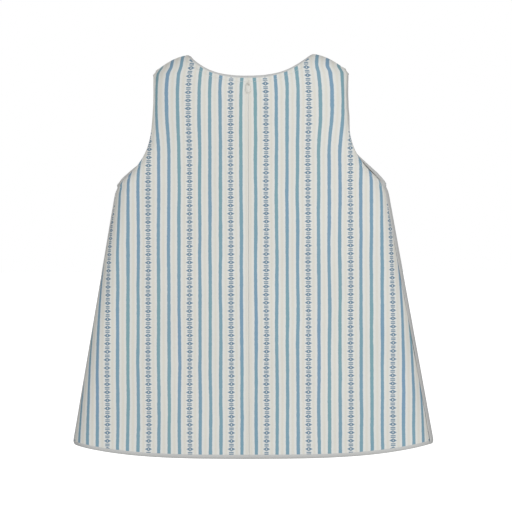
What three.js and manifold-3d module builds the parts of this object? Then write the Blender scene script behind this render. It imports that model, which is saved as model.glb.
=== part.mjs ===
// A small child's sleeveless A-line pinafore dress, hanging upright as it does on a hanger.
// Frame: X is the width, +Z is up, the back of the dress faces -Y and its front +Y.
// The origin is the middle of the line between the two high shoulder points.
// "Left" and "right" are the wearer's, so the wearer's left is at -X when the back faces the viewer.
import * as THREE from "three";
import { mergeVertices } from "three/addons/utils/BufferGeometryUtils.js";
import Module from "manifold-3d";

const wasm = await Module();
wasm.setup();

// ---- driving dimensions, in millimetres and degrees ----
const NECK_HALF_WIDTH = 69.5;
const BACK_NECK_DROP = 25;
const FRONT_NECK_DROP = 52;
const SHOULDER_TIP = { x: 109.5, z: -20.5 };
const UNDERARM = { x: 155, z: -149 };
const HEM_CORNER = { x: 207, z: -444 };
const HEM_CENTRE_Z = -459.5;

const DEPTH_AT_NECK = 29; // from the middle of the garment out to the centre-back line
const DEPTH_AT_HEM = 42;
const SIDE_RADIUS_AT_NECK = 20; // the sides of the flattened tube are round
const SIDE_RADIUS_AT_HEM = 30;
const SHOULDER_ROLL = 24; // the height over which the cloth rolls over the shoulder
const SIDE_SEAM_ANGLE = 64; // where the back ends on the round side, from the flat of the back
const ARMHOLE_ANGLE = 52; // where the armhole edges lie on the round side, halfway up

const CLOTH = 1.0;
const FACING = 0.7;
const FACING_GAP = 1.9; // the facings hang a little loose behind the cloth
const SEAM_GAP = 0.2; // half the gap left at a seam
const FACING_INSET = 1.2; // the facing stops this short of the edge that it follows
const NECK_FACING_DEPTH = 30;
const ARMHOLE_FACING_WIDTH = 27;
const SHOULDER_FACING_WIDTH = 19;
const SCOOP_HEIGHT = 44; // the front armhole edge crosses the round side within this height

const ZIP_LENGTH = 200;
const ZIP_TOP = 7; // below the neck edge
const ZIP_SLOT = 0.65; // half the slot between the two back panels
const TAPE = { inner: 1.2, outer: 14, near: 1.5, far: 1.9, above: 5, below: 5 };
const COIL = { inner: 0.75, outer: 2.9, near: 2.2, far: 3.6 };
const SLIDER = { length: 9, half: 4.4, flange: 1.1, near: 2.3, plate: 4.0, far: 4.8 };
const WEB = { half: 0.4, out: -2.6, below: 2, above: 1.8 }; // the slider's loop, out through the slot
const PULL_HINGE = { y: -1.6, below: 2, wire: 0.35, hole: 0.6 };
const PULL_TAB = { thickness: 0.9, below: 2.7, half: 2.2, arm: 0.8 };
const STOP = { gap: 0.3, height: 1.1, bottomHeight: 3, bottomHalf: 3 };
const HOOK_WIRE = 0.25; // the radius of the wire of the hook and the eye
const LABEL = 0.5;
const LABEL_GAP = 0.6;
const SIZE_LABEL = { p: [20, 44], z: [-62, -36] };
const CARE_LABEL = { width: 26, z: [-375, -322] };

const CREAM = 0xd8d3c6;
const LINING = 0xdedacd;
const STEEL = 0xb9bcc0;

// ---- small helpers ----
const rad = THREE.MathUtils.degToRad;
const lerp = THREE.MathUtils.lerp;
const smooth = (x) => THREE.MathUtils.smoothstep(x, 0, 1);
const group = new THREE.Group();

function addMesh(parent, name, geometry, { color, roughness = 0.9, metalness = 0 }) {
  const mesh = new THREE.Mesh(geometry, new THREE.MeshStandardMaterial({ color, roughness, metalness }));
  mesh.name = name;
  parent.add(mesh);
  return mesh;
}

// ---- the flattened tube that the cloth follows ----
const armhole = new THREE.CubicBezierCurve(
  new THREE.Vector2(SHOULDER_TIP.x, SHOULDER_TIP.z),
  new THREE.Vector2(106, -100),
  new THREE.Vector2(121.6, -119),
  new THREE.Vector2(UNDERARM.x, UNDERARM.z),
);

// Half the width of the outline at a height.
function outlineHalfWidth(z) {
  if (z <= UNDERARM.z) {
    const along = (UNDERARM.z - z) / (UNDERARM.z - HEM_CORNER.z);
    return lerp(UNDERARM.x, HEM_CORNER.x, along);
  }
  let low = 0;
  let high = 1;
  for (let i = 0; i < 30; i++) {
    const middle = (low + high) / 2;
    if (armhole.getPoint(middle).y > z) low = middle;
    else high = middle;
  }
  return armhole.getPoint(low).x;
}

const fallBelowNeck = (z) => (-BACK_NECK_DROP - z) / (-BACK_NECK_DROP - HEM_CENTRE_Z);
const depthAt = (z) => lerp(DEPTH_AT_NECK, DEPTH_AT_HEM, fallBelowNeck(z));
const sideRadiusAt = (z) => lerp(SIDE_RADIUS_AT_NECK, SIDE_RADIUS_AT_HEM, fallBelowNeck(z));

// The angle on the round side at which the back armhole edge lies.
function armholeAngle(z) {
  const up = THREE.MathUtils.clamp((z - UNDERARM.z) / (SHOULDER_TIP.z - UNDERARM.z), 0, 1);
  return lerp(SIDE_SEAM_ANGLE, ARMHOLE_ANGLE, Math.sin(Math.PI * Math.min(up, 0.5)));
}

// One half of the section at a height: a gently crowned face that turns into a round side.
function sectionAt(z) {
  const r = sideRadiusAt(z);
  const edgeAngle = z > UNDERARM.z ? armholeAngle(z) : 90;
  const half = outlineHalfWidth(z) + r * (1 - Math.sin(rad(edgeAngle)));
  const flat = half - r;
  const start = Math.atan((2 * (depthAt(z) - r)) / flat);
  const join = flat + r * Math.sin(start);
  const rise = depthAt(z) - r * Math.cos(start);
  const slope = Math.tan(start);
  return {
    r,
    flat,
    start,
    join,
    square: (3 * rise) / join ** 2 - slope / join,
    cube: slope / join ** 2 - (2 * rise) / join ** 3,
  };
}

const reachAt = (z, angle) => {
  const s = sectionAt(z);
  return s.join + s.r * (rad(angle) - s.start);
};

// How far down the outline of the shoulder is at a width.
const shoulderZ = (x) => {
  const along = (Math.abs(x) - NECK_HALF_WIDTH) / (SHOULDER_TIP.x - NECK_HALF_WIDTH);
  return Math.max(0, along) * SHOULDER_TIP.z;
};

// A point of the cloth's outer face. face is -1 on the back and +1 on the front, p is the distance
// along the cloth from that face's centre line, and inward is how deep below the outer face it lies.
function surface(face, p, z) {
  const s = sectionAt(z);
  const far = Math.abs(p);
  let x = far;
  let y = depthAt(z) - s.square * far ** 2 - s.cube * far ** 3;
  if (far > s.join) {
    const angle = s.start + (far - s.join) / s.r;
    x = s.flat + s.r * Math.sin(angle);
    y = s.r * Math.cos(angle);
  }
  const below = THREE.MathUtils.clamp((shoulderZ(x) - z) / SHOULDER_ROLL, 0, 1);
  const roll = Math.sqrt(1 - (1 - below) ** 2);
  const seam = 0.4 * (1 - roll);
  return new THREE.Vector3(Math.sign(p || 1) * x, face * (y * roll + seam), z);
}

function clothPoint(face, p, z, inward) {
  const step = 0.05;
  const at = surface(face, p, z);
  if (!inward) return at;
  const across = surface(face, p + step, z).sub(surface(face, p - step, z));
  const along = surface(face, p, z - step).sub(surface(face, p, z - 2 * step));
  const normal = new THREE.Vector3().crossVectors(across, along).normalize();
  return at.addScaledVector(normal, face * inward);
}

// ---- a thin closed sheet between two faces of one grid of points ----
function sheetGeometry(columns, rows, point) {
  const vertices = [];
  const index = (layer, i, j) => layer * (columns + 1) * (rows + 1) + j * (columns + 1) + i;
  for (let layer = 0; layer < 2; layer++)
    for (let j = 0; j <= rows; j++)
      for (let i = 0; i <= columns; i++) vertices.push(...point(i, j, layer).toArray());
  const faces = [];
  const quad = (a, b, c, d) => faces.push(a, b, c, a, c, d);
  for (let j = 0; j < rows; j++)
    for (let i = 0; i < columns; i++) {
      quad(index(0, i, j), index(0, i + 1, j), index(0, i + 1, j + 1), index(0, i, j + 1));
      quad(index(1, i, j), index(1, i, j + 1), index(1, i + 1, j + 1), index(1, i + 1, j));
    }
  for (let i = 0; i < columns; i++) {
    quad(index(0, i, 0), index(1, i, 0), index(1, i + 1, 0), index(0, i + 1, 0));
    quad(index(0, i, rows), index(0, i + 1, rows), index(1, i + 1, rows), index(1, i, rows));
  }
  for (let j = 0; j < rows; j++) {
    quad(index(0, 0, j), index(0, 0, j + 1), index(1, 0, j + 1), index(1, 0, j));
    quad(index(0, columns, j), index(1, columns, j), index(1, columns, j + 1), index(0, columns, j + 1));
  }
  const geometry = new THREE.BufferGeometry();
  geometry.setAttribute("position", new THREE.Float32BufferAttribute(vertices, 3));
  geometry.setIndex(faces);
  if (signedVolume(geometry) < 0) geometry.setIndex([...faces].reverse());
  return geometry;
}

function signedVolume(geometry) {
  const position = geometry.getAttribute("position");
  const corner = [new THREE.Vector3(), new THREE.Vector3(), new THREE.Vector3()];
  let sum = 0;
  for (let i = 0; i < geometry.index.count; i += 3) {
    corner.forEach((c, k) => c.fromBufferAttribute(position, geometry.index.getX(i + k)));
    sum += corner[0].dot(corner[1].clone().cross(corner[2]));
  }
  return sum;
}

// ---- the grid of a panel ----
// Rows are close together at the shoulder, where the cloth rolls over, and columns at the round side.
const ROWS = 26;
const HALF_COLUMNS = 16;
const CORNER_ROW = 11;
const rowShare = (j) => 1 - (1 - j / ROWS) ** 2.2;
const columnShare = (i) => 1 - (1 - i / HALF_COLUMNS) ** 1.45;
const NECK_SHARE = columnShare(7); // the share of the top edge that is neckline; the rest is shoulder
const CORNER_SHARE = rowShare(CORNER_ROW);
const LOW_ROW_SHARE = 0.03; // the height of the armhole facings' rows below the underarm

// ---- the outline of half a panel, as points (p, z) for shares from 0 to 1 ----
const neckZ = (x, drop, power) => -drop * (1 - (x / NECK_HALF_WIDTH) ** power);
const hemZ = (x) => lerp(HEM_CENTRE_Z, HEM_CORNER.z, Math.min(1, x / HEM_CORNER.x) ** 3.4);

const HALF = {
  back: { face: -1, neckDrop: BACK_NECK_DROP, neckPower: 2.6, seamAngle: SIDE_SEAM_ANGLE },
  front: { face: 1, neckDrop: FRONT_NECK_DROP, neckPower: 2.2, seamAngle: 180 - SIDE_SEAM_ANGLE },
};

function topEdge(half, share) {
  if (share <= NECK_SHARE) {
    const x = (share / NECK_SHARE) * NECK_HALF_WIDTH;
    return [x, neckZ(x, half.neckDrop, half.neckPower)];
  }
  const x = lerp(NECK_HALF_WIDTH, SHOULDER_TIP.x, (share - NECK_SHARE) / (1 - NECK_SHARE));
  const s = sectionAt(shoulderZ(x));
  const p = x <= s.join ? x : s.join + s.r * (Math.asin((x - s.flat) / s.r) - s.start);
  return [p, shoulderZ(x)];
}

function armholeEdge(half, share) {
  const z = lerp(UNDERARM.z, SHOULDER_TIP.z, share);
  const back = armholeAngle(z);
  if (half.face < 0) return [reachAt(z, back), z];
  const swing = smooth((z - UNDERARM.z) / SCOOP_HEIGHT);
  return [reachAt(z, lerp(half.seamAngle, back, swing)), z];
}

function sideEdge(half, share) {
  if (share >= CORNER_SHARE) return armholeEdge(half, (share - CORNER_SHARE) / (1 - CORNER_SHARE));
  const z = lerp(HEM_CORNER.z, UNDERARM.z, share / CORNER_SHARE);
  return [reachAt(z, half.seamAngle), z];
}

function bottomEdge(half, share) {
  const p = share * reachAt(HEM_CORNER.z, half.seamAngle);
  return [p, hemZ(Math.abs(surface(half.face, p, HEM_CORNER.z).x))];
}

function inOutline(half, s, t) {
  const bottom = bottomEdge(half, s);
  const top = topEdge(half, s);
  const left = [0, lerp(HEM_CENTRE_Z, -half.neckDrop, t)];
  const right = sideEdge(half, t);
  const c00 = bottomEdge(half, 0);
  const c10 = bottomEdge(half, 1);
  const c01 = topEdge(half, 0);
  const c11 = topEdge(half, 1);
  return [0, 1].map(
    (k) =>
      (1 - t) * bottom[k] + t * top[k] + (1 - s) * left[k] + s * right[k] -
      ((1 - s) * (1 - t) * c00[k] + s * (1 - t) * c10[k] + (1 - s) * t * c01[k] + s * t * c11[k]),
  );
}

// ---- the three panels ----
function backPanel(side) {
  return sheetGeometry(HALF_COLUMNS, ROWS, (i, j, layer) => {
    const s = columnShare(i);
    const [p, z] = inOutline(HALF.back, s, rowShare(j));
    return clothPoint(-1, side * (p + lerp(ZIP_SLOT, -SEAM_GAP, s)), z, layer * CLOTH);
  });
}

function frontPanel() {
  return sheetGeometry(2 * HALF_COLUMNS, ROWS, (i, j, layer) => {
    const side = i < HALF_COLUMNS ? -1 : 1;
    const s = columnShare(Math.abs(i - HALF_COLUMNS));
    const [p, z] = inOutline(HALF.front, s, rowShare(j));
    return clothPoint(1, side * (p - SEAM_GAP * s), z, layer * CLOTH);
  });
}

// ---- facings, which line the neck and the armholes on the inside ----
const FACING_START = ((TAPE.outer + 1.5) * NECK_SHARE) / NECK_HALF_WIDTH; // beside the zip tape
const FACING_END = 0.78; // along the top edge, on the shoulder
const CENTRE_BACK = -HEM_CENTRE_Z - BACK_NECK_DROP; // the length of the centre-back line

function facingPoint(half, side, s, t, layer) {
  const [p, z] = inOutline(half, s, t);
  return clothPoint(half.face, side * p, z, CLOTH + FACING_GAP + layer * FACING);
}

// The neck facing between two shares of the top edge; its lower edge curves up to the shoulder seam.
function neckFacing(half, side, from, to, columns) {
  const rows = 7;
  return sheetGeometry(columns, rows, (i, j, layer) => {
    const signed = lerp(from, to, i / columns);
    const s = Math.abs(signed);
    const high = 1 - (FACING_INSET / CENTRE_BACK) * (1 - smooth((s - 0.5) / 0.1));
    const depth = NECK_FACING_DEPTH * Math.sqrt(1 - Math.min(1, s / (FACING_END + 0.01)) ** 4);
    const low = high - depth / CENTRE_BACK;
    return facingPoint(half, side * (signed < 0 ? -1 : 1), s, lerp(high, low, (j / rows) ** 2), layer);
  });
}

function armholeFacing(half, side) {
  const columns = 5;
  const below = 2; // rows that hang below the underarm
  return sheetGeometry(columns, ROWS - CORNER_ROW + below, (i, j, layer) => {
    const row = j - below;
    const t = row < 0 ? CORNER_SHARE + row * LOW_ROW_SHARE : rowShare(CORNER_ROW + row);
    const reach = inOutline(half, 1, t)[0];
    const up = Math.max(0, (t - CORNER_SHARE) / (1 - CORNER_SHARE));
    const hang = Math.sqrt(1 - Math.min(0, row / (below + 0.6)) ** 2);
    const width = lerp(ARMHOLE_FACING_WIDTH, SHOULDER_FACING_WIDTH, up) * hang;
    const s = 1 - (FACING_INSET + (width * i) / columns) / reach;
    return facingPoint(half, side, s, t, layer);
  });
}

// ---- booleans ----
function toSolid(geometry) {
  const bare = new THREE.BufferGeometry();
  bare.setAttribute("position", geometry.getAttribute("position"));
  if (geometry.index) bare.setIndex(geometry.index);
  const merged = mergeVertices(bare, 1e-4);
  return new wasm.Manifold(
    new wasm.Mesh({
      numProp: 3,
      vertProperties: merged.attributes.position.array,
      triVerts: new Uint32Array(merged.index.array),
    }),
  );
}

function toGeometry(solid) {
  const mesh = solid.getMesh();
  const geometry = new THREE.BufferGeometry();
  geometry.setAttribute("position", new THREE.BufferAttribute(mesh.vertProperties, 3));
  geometry.setIndex(new THREE.BufferAttribute(mesh.triVerts, 1));
  return geometry;
}

const joined = (...geometries) => toGeometry(geometries.map(toSolid).reduce((a, b) => a.add(b)));

// A box given by its lowest and highest corners.
function boxBetween([x0, y0, z0], [x1, y1, z1]) {
  const box = new THREE.BoxGeometry(x1 - x0, y1 - y0, z1 - z0);
  return box.translate((x0 + x1) / 2, (y0 + y1) / 2, (z0 + z1) / 2);
}

// A box on one side of the zip, between two distances from its middle line.
function sideBox(side, inner, outer, near, far, bottom, top) {
  const [x0, x1] = side < 0 ? [-outer, -inner] : [inner, outer];
  return boxBetween([x0, near, bottom], [x1, far, top]);
}

function wire(points, radius) {
  const path = new THREE.CatmullRomCurve3(points.map((p) => new THREE.Vector3(...p)), false, "centripetal");
  const section = new THREE.Shape().absarc(0, 0, radius, 0, 2 * Math.PI);
  const steps = 3 * points.length;
  return new THREE.ExtrudeGeometry(section, { steps, curveSegments: 4, extrudePath: path });
}

// ---- the concealed zip, in a frame with its own origin at the middle of the back neck edge:
// Z runs up the centre-back line, the cloth's outer face is at y = 0 and +Y goes inside ----
const zip = new THREE.Group();
const lean = (DEPTH_AT_HEM - DEPTH_AT_NECK) / CENTRE_BACK;
zip.position.set(0, -DEPTH_AT_NECK, -BACK_NECK_DROP);
zip.rotation.x = -Math.atan(lean);

const coilTop = -ZIP_TOP;
const coilBottom = coilTop - ZIP_LENGTH;

const zipTape = (side) =>
  sideBox(side, TAPE.inner, TAPE.outer, TAPE.near, TAPE.far, coilBottom - TAPE.below, coilTop + TAPE.above);

function zipCoil(side) {
  const half = (COIL.outer - COIL.inner) / 2;
  const depth = (COIL.far - COIL.near) / 2;
  const section = new THREE.Shape().absellipse(0, 0, half, depth, 0, 2 * Math.PI);
  const settings = { depth: ZIP_LENGTH, steps: 1, curveSegments: 6, bevelEnabled: false };
  const coil = new THREE.ExtrudeGeometry(section, settings);
  return coil.translate(side * (COIL.inner + half), COIL.near + depth, coilBottom);
}

function topStop(side) {
  const bottom = coilTop + STOP.gap;
  return sideBox(side, COIL.inner, COIL.outer, COIL.near, COIL.far, bottom, bottom + STOP.height);
}

function bottomStop() {
  const top = coilBottom - STOP.gap;
  return boxBetween([-STOP.bottomHalf, COIL.near, top - STOP.bottomHeight], [STOP.bottomHalf, COIL.far, top]);
}

function zipSlider() {
  const top = coilTop;
  const bottom = top - SLIDER.length;
  const hinge = top - PULL_HINGE.below;
  const inside = (3 * SLIDER.plate + SLIDER.far) / 4; // the flanges and the web run into the plate
  const plate = boxBetween([-SLIDER.half, SLIDER.plate, bottom], [SLIDER.half, SLIDER.far, top]);
  const flange = (side) =>
    sideBox(side, SLIDER.half - SLIDER.flange, SLIDER.half, SLIDER.near, inside, bottom, top);
  const web = boxBetween([-WEB.half, WEB.out, hinge - WEB.below], [WEB.half, inside, hinge + WEB.above]);
  const hole = new THREE.CylinderGeometry(PULL_HINGE.hole, PULL_HINGE.hole, 10 * WEB.half, 20);
  hole.rotateZ(Math.PI / 2).translate(0, PULL_HINGE.y, hinge);
  const body = [plate, flange(-1), flange(1), web].map(toSolid).reduce((a, b) => a.add(b));
  return toGeometry(body.subtract(toSolid(hole)));
}

function zipPull() {
  const hinge = coilTop - PULL_HINGE.below;
  const { half, thickness, below, arm: armWidth } = PULL_TAB;
  const bar = new THREE.CylinderGeometry(PULL_HINGE.wire, PULL_HINGE.wire, 2 * half, 12);
  bar.rotateZ(Math.PI / 2).translate(0, PULL_HINGE.y, hinge);
  const near = PULL_HINGE.y - armWidth / 2;
  const arm = (side) =>
    sideBox(side, half - armWidth, half, near, near + armWidth, hinge - below - 0.5, hinge + 0.3);
  const outline = new THREE.Shape();
  outline.moveTo(-half, 0);
  outline.lineTo(half, 0);
  outline.quadraticCurveTo(1.5 * half, -4.5, 1.2 * half, -6.6);
  outline.quadraticCurveTo(0.7 * half, -8.2, 0, -8.2);
  outline.quadraticCurveTo(-0.7 * half, -8.2, -1.2 * half, -6.6);
  outline.quadraticCurveTo(-1.5 * half, -4.5, -half, 0);
  const tab = new THREE.ExtrudeGeometry(outline, { depth: thickness, curveSegments: 5, bevelEnabled: false });
  tab.rotateX(Math.PI / 2).translate(0, PULL_HINGE.y + thickness / 2, hinge - below);
  return joined(bar, arm(-1), arm(1), tab);
}

const HOOK_LINE = -3.2; // how far below the neck edge the hook lies
const hookWire = () =>
  wire(
    [
      [-5.2, 2.5, HOOK_LINE - 1.2],
      [-7.4, 2.5, HOOK_LINE - 1.7],
      [-8.2, 2.5, HOOK_LINE - 0.4],
      [-6.4, 2.5, HOOK_LINE],
      [-2, 2.5, HOOK_LINE],
      [1.3, 2.5, HOOK_LINE],
      [2.1, 3.4, HOOK_LINE],
      [1.3, 4.3, HOOK_LINE],
      [-1.4, 4.3, HOOK_LINE],
    ],
    HOOK_WIRE,
  );

const eyeWire = () =>
  wire(
    [
      [8, 2.6, HOOK_LINE - 1.4],
      [5, 2.6, HOOK_LINE - 1.5],
      [2.2, 3.1, HOOK_LINE - 1.6],
      [1.0, 3.4, HOOK_LINE - 0.9],
      [1.0, 3.4, HOOK_LINE + 0.9],
      [2.2, 3.1, HOOK_LINE + 1.6],
      [5, 2.6, HOOK_LINE + 1.5],
      [8, 2.6, HOOK_LINE + 1.4],
    ],
    HOOK_WIRE,
  );

// ---- blank labels, flat against the inside ----
function sizeLabel(side) {
  const [inner, outer] = SIZE_LABEL.p;
  const [bottom, top] = SIZE_LABEL.z;
  const inward = CLOTH + FACING_GAP + FACING + LABEL_GAP;
  return sheetGeometry(4, 4, (i, j, layer) =>
    clothPoint(-1, side * lerp(inner, outer, i / 4), lerp(bottom, top, j / 4), inward + layer * LABEL),
  );
}

function careLabel(side) {
  const [bottom, top] = CARE_LABEL.z;
  return sheetGeometry(4, 4, (i, j, layer) => {
    const z = lerp(bottom, top, j / 4);
    const seam = reachAt(z, SIDE_SEAM_ANGLE) - 2;
    return clothPoint(-1, side * (seam - CARE_LABEL.width * (1 - i / 4)), z, CLOTH + (1 + layer) * LABEL);
  });
}

// ---- the assembly ----
const FABRIC = { color: CREAM, roughness: 0.9 };
const LINEN = { color: LINING, roughness: 0.9 };
const METAL = { color: STEEL, roughness: 0.35, metalness: 1 };
const TAPE_CLOTH = { color: LINING, roughness: 0.8 };
const LACQUER = { color: LINING, roughness: 0.4 };

group.add(zip);
addMesh(group, "front_panel", frontPanel(), FABRIC);
addMesh(group, "front_neck_facing", neckFacing(HALF.front, 1, -FACING_END, FACING_END, 24), LINEN);
addMesh(zip, "zip_bottom_stop", bottomStop(), METAL);
addMesh(zip, "zip_slider", zipSlider(), METAL);
addMesh(zip, "zip_pull", zipPull(), LACQUER);
addMesh(zip, "neck_hook", hookWire(), METAL);
addMesh(zip, "neck_eye", eyeWire(), METAL);
addMesh(group, "size_label", sizeLabel(1), LINEN);
addMesh(group, "care_label", careLabel(-1), LINEN);

for (const [word, side] of [["left", -1], ["right", 1]]) {
  addMesh(group, word + "_back_panel", backPanel(side), FABRIC);
  const backFacing = neckFacing(HALF.back, side, FACING_START, FACING_END, 10);
  addMesh(group, word + "_back_neck_facing", backFacing, LINEN);
  addMesh(group, word + "_back_armhole_facing", armholeFacing(HALF.back, side), LINEN);
  addMesh(group, word + "_front_armhole_facing", armholeFacing(HALF.front, side), LINEN);
  addMesh(zip, word + "_zip_tape", zipTape(side), TAPE_CLOTH);
  addMesh(zip, word + "_zip_coil", zipCoil(side), TAPE_CLOTH);
  addMesh(zip, word + "_zip_top_stop", topStop(side), METAL);
}

export default group;
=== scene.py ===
"""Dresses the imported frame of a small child's sleeveless A-line pinafore.

The garment hangs upright. Its back faces -Y, +X is the wearer's right, and the origin is the middle
of the line between the two high shoulder points. Every length is in metres.
"""

import math

import bmesh
import bpy
import numpy as np
from mathutils import Matrix, Vector, noise


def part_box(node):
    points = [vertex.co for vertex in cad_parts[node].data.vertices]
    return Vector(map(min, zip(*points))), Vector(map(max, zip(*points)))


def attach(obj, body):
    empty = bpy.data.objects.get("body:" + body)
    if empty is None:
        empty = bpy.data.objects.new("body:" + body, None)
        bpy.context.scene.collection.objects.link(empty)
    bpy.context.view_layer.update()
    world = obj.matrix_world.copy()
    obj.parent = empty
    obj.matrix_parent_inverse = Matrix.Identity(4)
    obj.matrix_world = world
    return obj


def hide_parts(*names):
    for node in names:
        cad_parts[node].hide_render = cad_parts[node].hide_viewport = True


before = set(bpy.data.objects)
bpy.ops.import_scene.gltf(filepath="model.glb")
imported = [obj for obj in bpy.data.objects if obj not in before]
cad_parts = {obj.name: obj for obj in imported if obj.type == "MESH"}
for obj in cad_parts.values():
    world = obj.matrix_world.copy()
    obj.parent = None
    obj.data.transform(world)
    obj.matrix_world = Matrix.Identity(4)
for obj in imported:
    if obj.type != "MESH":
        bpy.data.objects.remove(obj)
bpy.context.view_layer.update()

bl_info = {
    "name": "Pinafore dress",
    "version": (1, 0, 0),
    "blender": (4, 5, 0),
    "location": "View3D > Sidebar > Pinafore",
    "description": "Builds the cloth, trims and fastenings of a child's pinafore dress",
    "category": "Object",
}

MM = 0.001
DRESS = "dress"
SIDES = (("left", -1), ("right", 1))
PANEL_LOW, PANEL_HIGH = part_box("front_panel")

# Flat sizes in metres and flat areas in square metres of the cut pieces, hems included.
FLAT_SIZES = {
    "front_panel": ((0.50, 0.485), 0.172),
    "back_panel": ((0.232, 0.485), 0.080),
    "front_neck_facing": ((0.215, 0.075), 0.0065),
    "back_neck_facing": ((0.09, 0.05), 0.0024),
    "armhole_facing": ((0.05, 0.155), 0.0037),
}

# Distances from an edge at which the cloth's grid has a line, so that turned edges come out round.
EDGE_STEPS = [d * MM for d in (0, 0.3, 0.7, 1.2, 1.8, 2.6, 3.6, 4.8, 5.8, 6.4, 6.8, 7.2, 7.8, 9, 11)]
SEAM_STEPS = [d * MM for d in (0, 0.2, 0.5, 0.9, 1.6, 3)]
HEM_STEPS = [d * MM for d in (0, 0.2, 0.5, 0.9, 1.5, 2.3, 3.3, 4.4, 5.6)]
TURN_STEPS = [d * MM for d in (1.2, 2.4, 3.6, 5, 6.4, 7.6, 12, 18, 25)]
GRID_WIDTH = 0.165
GRID_HEIGHT = 0.43
GRID_CELL_WIDTH = 3.6 * MM
GRID_CELL_HEIGHT = 3.8 * MM
FAR_OFF = 1.0

# Darkest and lightest tone of the grain in threads, enamel and metal.
GRAIN_DARK = 0.82
GRAIN_LIGHT = 1.08

# How far a capsule runs past its two points, as a share of its radius.
CAPSULE_END = 0.6

# The studio floor's shade, and half its side in metres.
PAPER_SHADE = 0.9
FLOOR_HALF = 30

# Thread spacings of the cloths, and how deep their weave is.
STRIPED_THREAD = 0.5 * MM
LINING_THREAD = 0.45 * MM
SATIN_THREAD = 0.25 * MM
TAPE_THREAD = 0.35 * MM
WEAVE_DEPTH = 0.09 * MM
PLAIN_WEAVE_DEPTH = 0.08 * MM

# Scales of the noise in the cloth's colour, per metre, how far it is drawn out one way, and the
# shares that set the tones.
SLUB_SCALE = 220
SLUB_STRETCH = 6.0
PATCH_SCALE = 14
WEFT_SCALE = 90
WEFT_STRETCH = 18.0
TONE_SPREAD = 0.075
WOBBLE_SCALE = 260
WOBBLE_STRETCH = 0.2
BEND_SCALE = 16
BEND_STRETCH = 2.5
DRIFT_SCALE = 9
DRIFT_APART = 0.37
DRIFT_STRETCH = 0.5
DRIFT_GAIN = 3.0
WEFT_CROSSINGS = 0.22
WEAVE_RAISED = 0.8
ECRU_START = 1.2

# Every MOTIF_EVERYth stripe, counted from MOTIF_FIRST, is a column of motifs. Their sizes are
# shares of the motif's half width and of its pitch.
MOTIF_EVERY = 4.0
MOTIF_FIRST = 1.0
LOZENGE_MIDDLE = 0.27
LOZENGE_HALF_HEIGHT = 0.27
LOZENGE_HALF_WIDTH = 1.25
LOZENGE_SOFT = 0.25
HOLE_HALF_WIDTH = 0.35
HOLE_SIZE = 0.55
HOLE_SOFT = 0.3
BAR_MIDDLES = (0.66, 0.86)
BAR_HALF_WIDTH = 0.8
BAR_HALF_HEIGHT = 0.6 * MM
BAR_SOFT = 0.3 * MM
BAR_END_SOFT = 0.4 * MM


def length(name, description, default):
    """A length that a user may change."""
    return bpy.props.FloatProperty(
        name=name, description=description, default=default, precision=5, unit="LENGTH"
    )


def number(name, description, default, unit="NONE"):
    """A plain number that a user may change."""
    return bpy.props.FloatProperty(name=name, description=description, default=default, unit=unit)


def angle(name, description, degrees):
    """An angle that a user may change."""
    return bpy.props.FloatProperty(
        name=name, description=description, default=math.radians(degrees), subtype="ANGLE"
    )


def colour(name, description, default):
    """A linear colour that a user may change."""
    return bpy.props.FloatVectorProperty(
        name=name, description=description, default=default, subtype="COLOR", size=3, min=0, max=1
    )


class PinaforeShape(bpy.types.PropertyGroup):
    """The outline seen from behind and the flattened tube that it wraps."""

    neck_half_width: length("Neck half width", "From the middle to the high shoulder point", 0.0695)
    back_neck_drop: length("Back neck drop", "How far the back neckline dips", 0.025)
    front_neck_drop: length("Front neck drop", "How far the front neckline dips", 0.052)
    tip_x: length("Shoulder tip width", "From the middle to the shoulder tip", 0.1105)
    tip_z: length("Shoulder tip height", "Height of the shoulder tip", -0.0190)
    shoulder_crown: length("Shoulder crown", "How far the shoulder seam arches up", 0.0038)
    armhole_ease: length("Armhole ease", "Cloth beyond the armhole's line, turned in at the edge", 0.0055)
    ease_start: length("Ease start", "From the underarm up to where the ease starts", 0.034)
    ease_rise: length("Ease rise", "Height in which the ease grows to its full width", 0.050)
    ease_fade: length("Ease fade", "Height in which the ease dies out at the shoulder", 0.009)
    tip_round: length("Shoulder tip rounding", "Height over which the shoulder tip is rounded", 0.007)
    underarm_x: length("Underarm half width", "From the middle to the underarm point", 0.155)
    underarm_z: length("Underarm height", "Height of the underarm point", -0.149)
    underarm_round: length("Underarm rounding", "Height over which the underarm corner is rounded", 0.012)
    hem_x: length("Hem half width", "From the middle to the hem's corner", 0.207)
    hem_corner_z: length("Hem corner height", "Height of the hem at the sides", -0.444)
    hem_z: length("Hem height", "Height of the hem in the middle", PANEL_LOW[2])
    neck_depth: length("Depth at the neck", "From the middle plane to the back neckline", 0.029)
    hem_depth: length("Depth at the hem", "From the middle plane to the hem", PANEL_HIGH[1])
    neck_side_radius: length("Side radius at the neck", "Roundness of the sides, high up", 0.020)
    hem_side_radius: length("Side radius at the hem", "Roundness of the sides at the hem", 0.030)
    shoulder_roll: length("Shoulder roll", "Height over which the cloth rolls over", 0.024)
    shoulder_gap: length("Shoulder gap", "Half the gap between back and front on the shoulders", 0.0002)
    seam_angle: angle("Side seam angle", "Where the side seam lies on the round side", 64)
    armhole_angle: angle("Armhole angle", "Where the armhole edge lies on the round side", 52)
    facing_height: length("Neck facing depth", "From the neckline to the facing's edge", 0.030)
    facing_inset: length("Facing inset", "From the finished edge in to the facing's edge", 0.0012)
    facing_low: length("Armhole facing, low", "Width of the armhole facing at the underarm", 0.027)
    facing_high: length("Armhole facing, high", "Width of the armhole facing at the shoulder", 0.019)
    scoop: length("Front scoop", "Height in which the front armhole crosses the side", 0.044)
    scoop_depth: length("Scoop depth", "How much deeper the front armhole is cut, low down", 0.0055)
    scoop_height: length("Scoop height", "Height over which the front armhole is cut deeper", 0.085)


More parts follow.
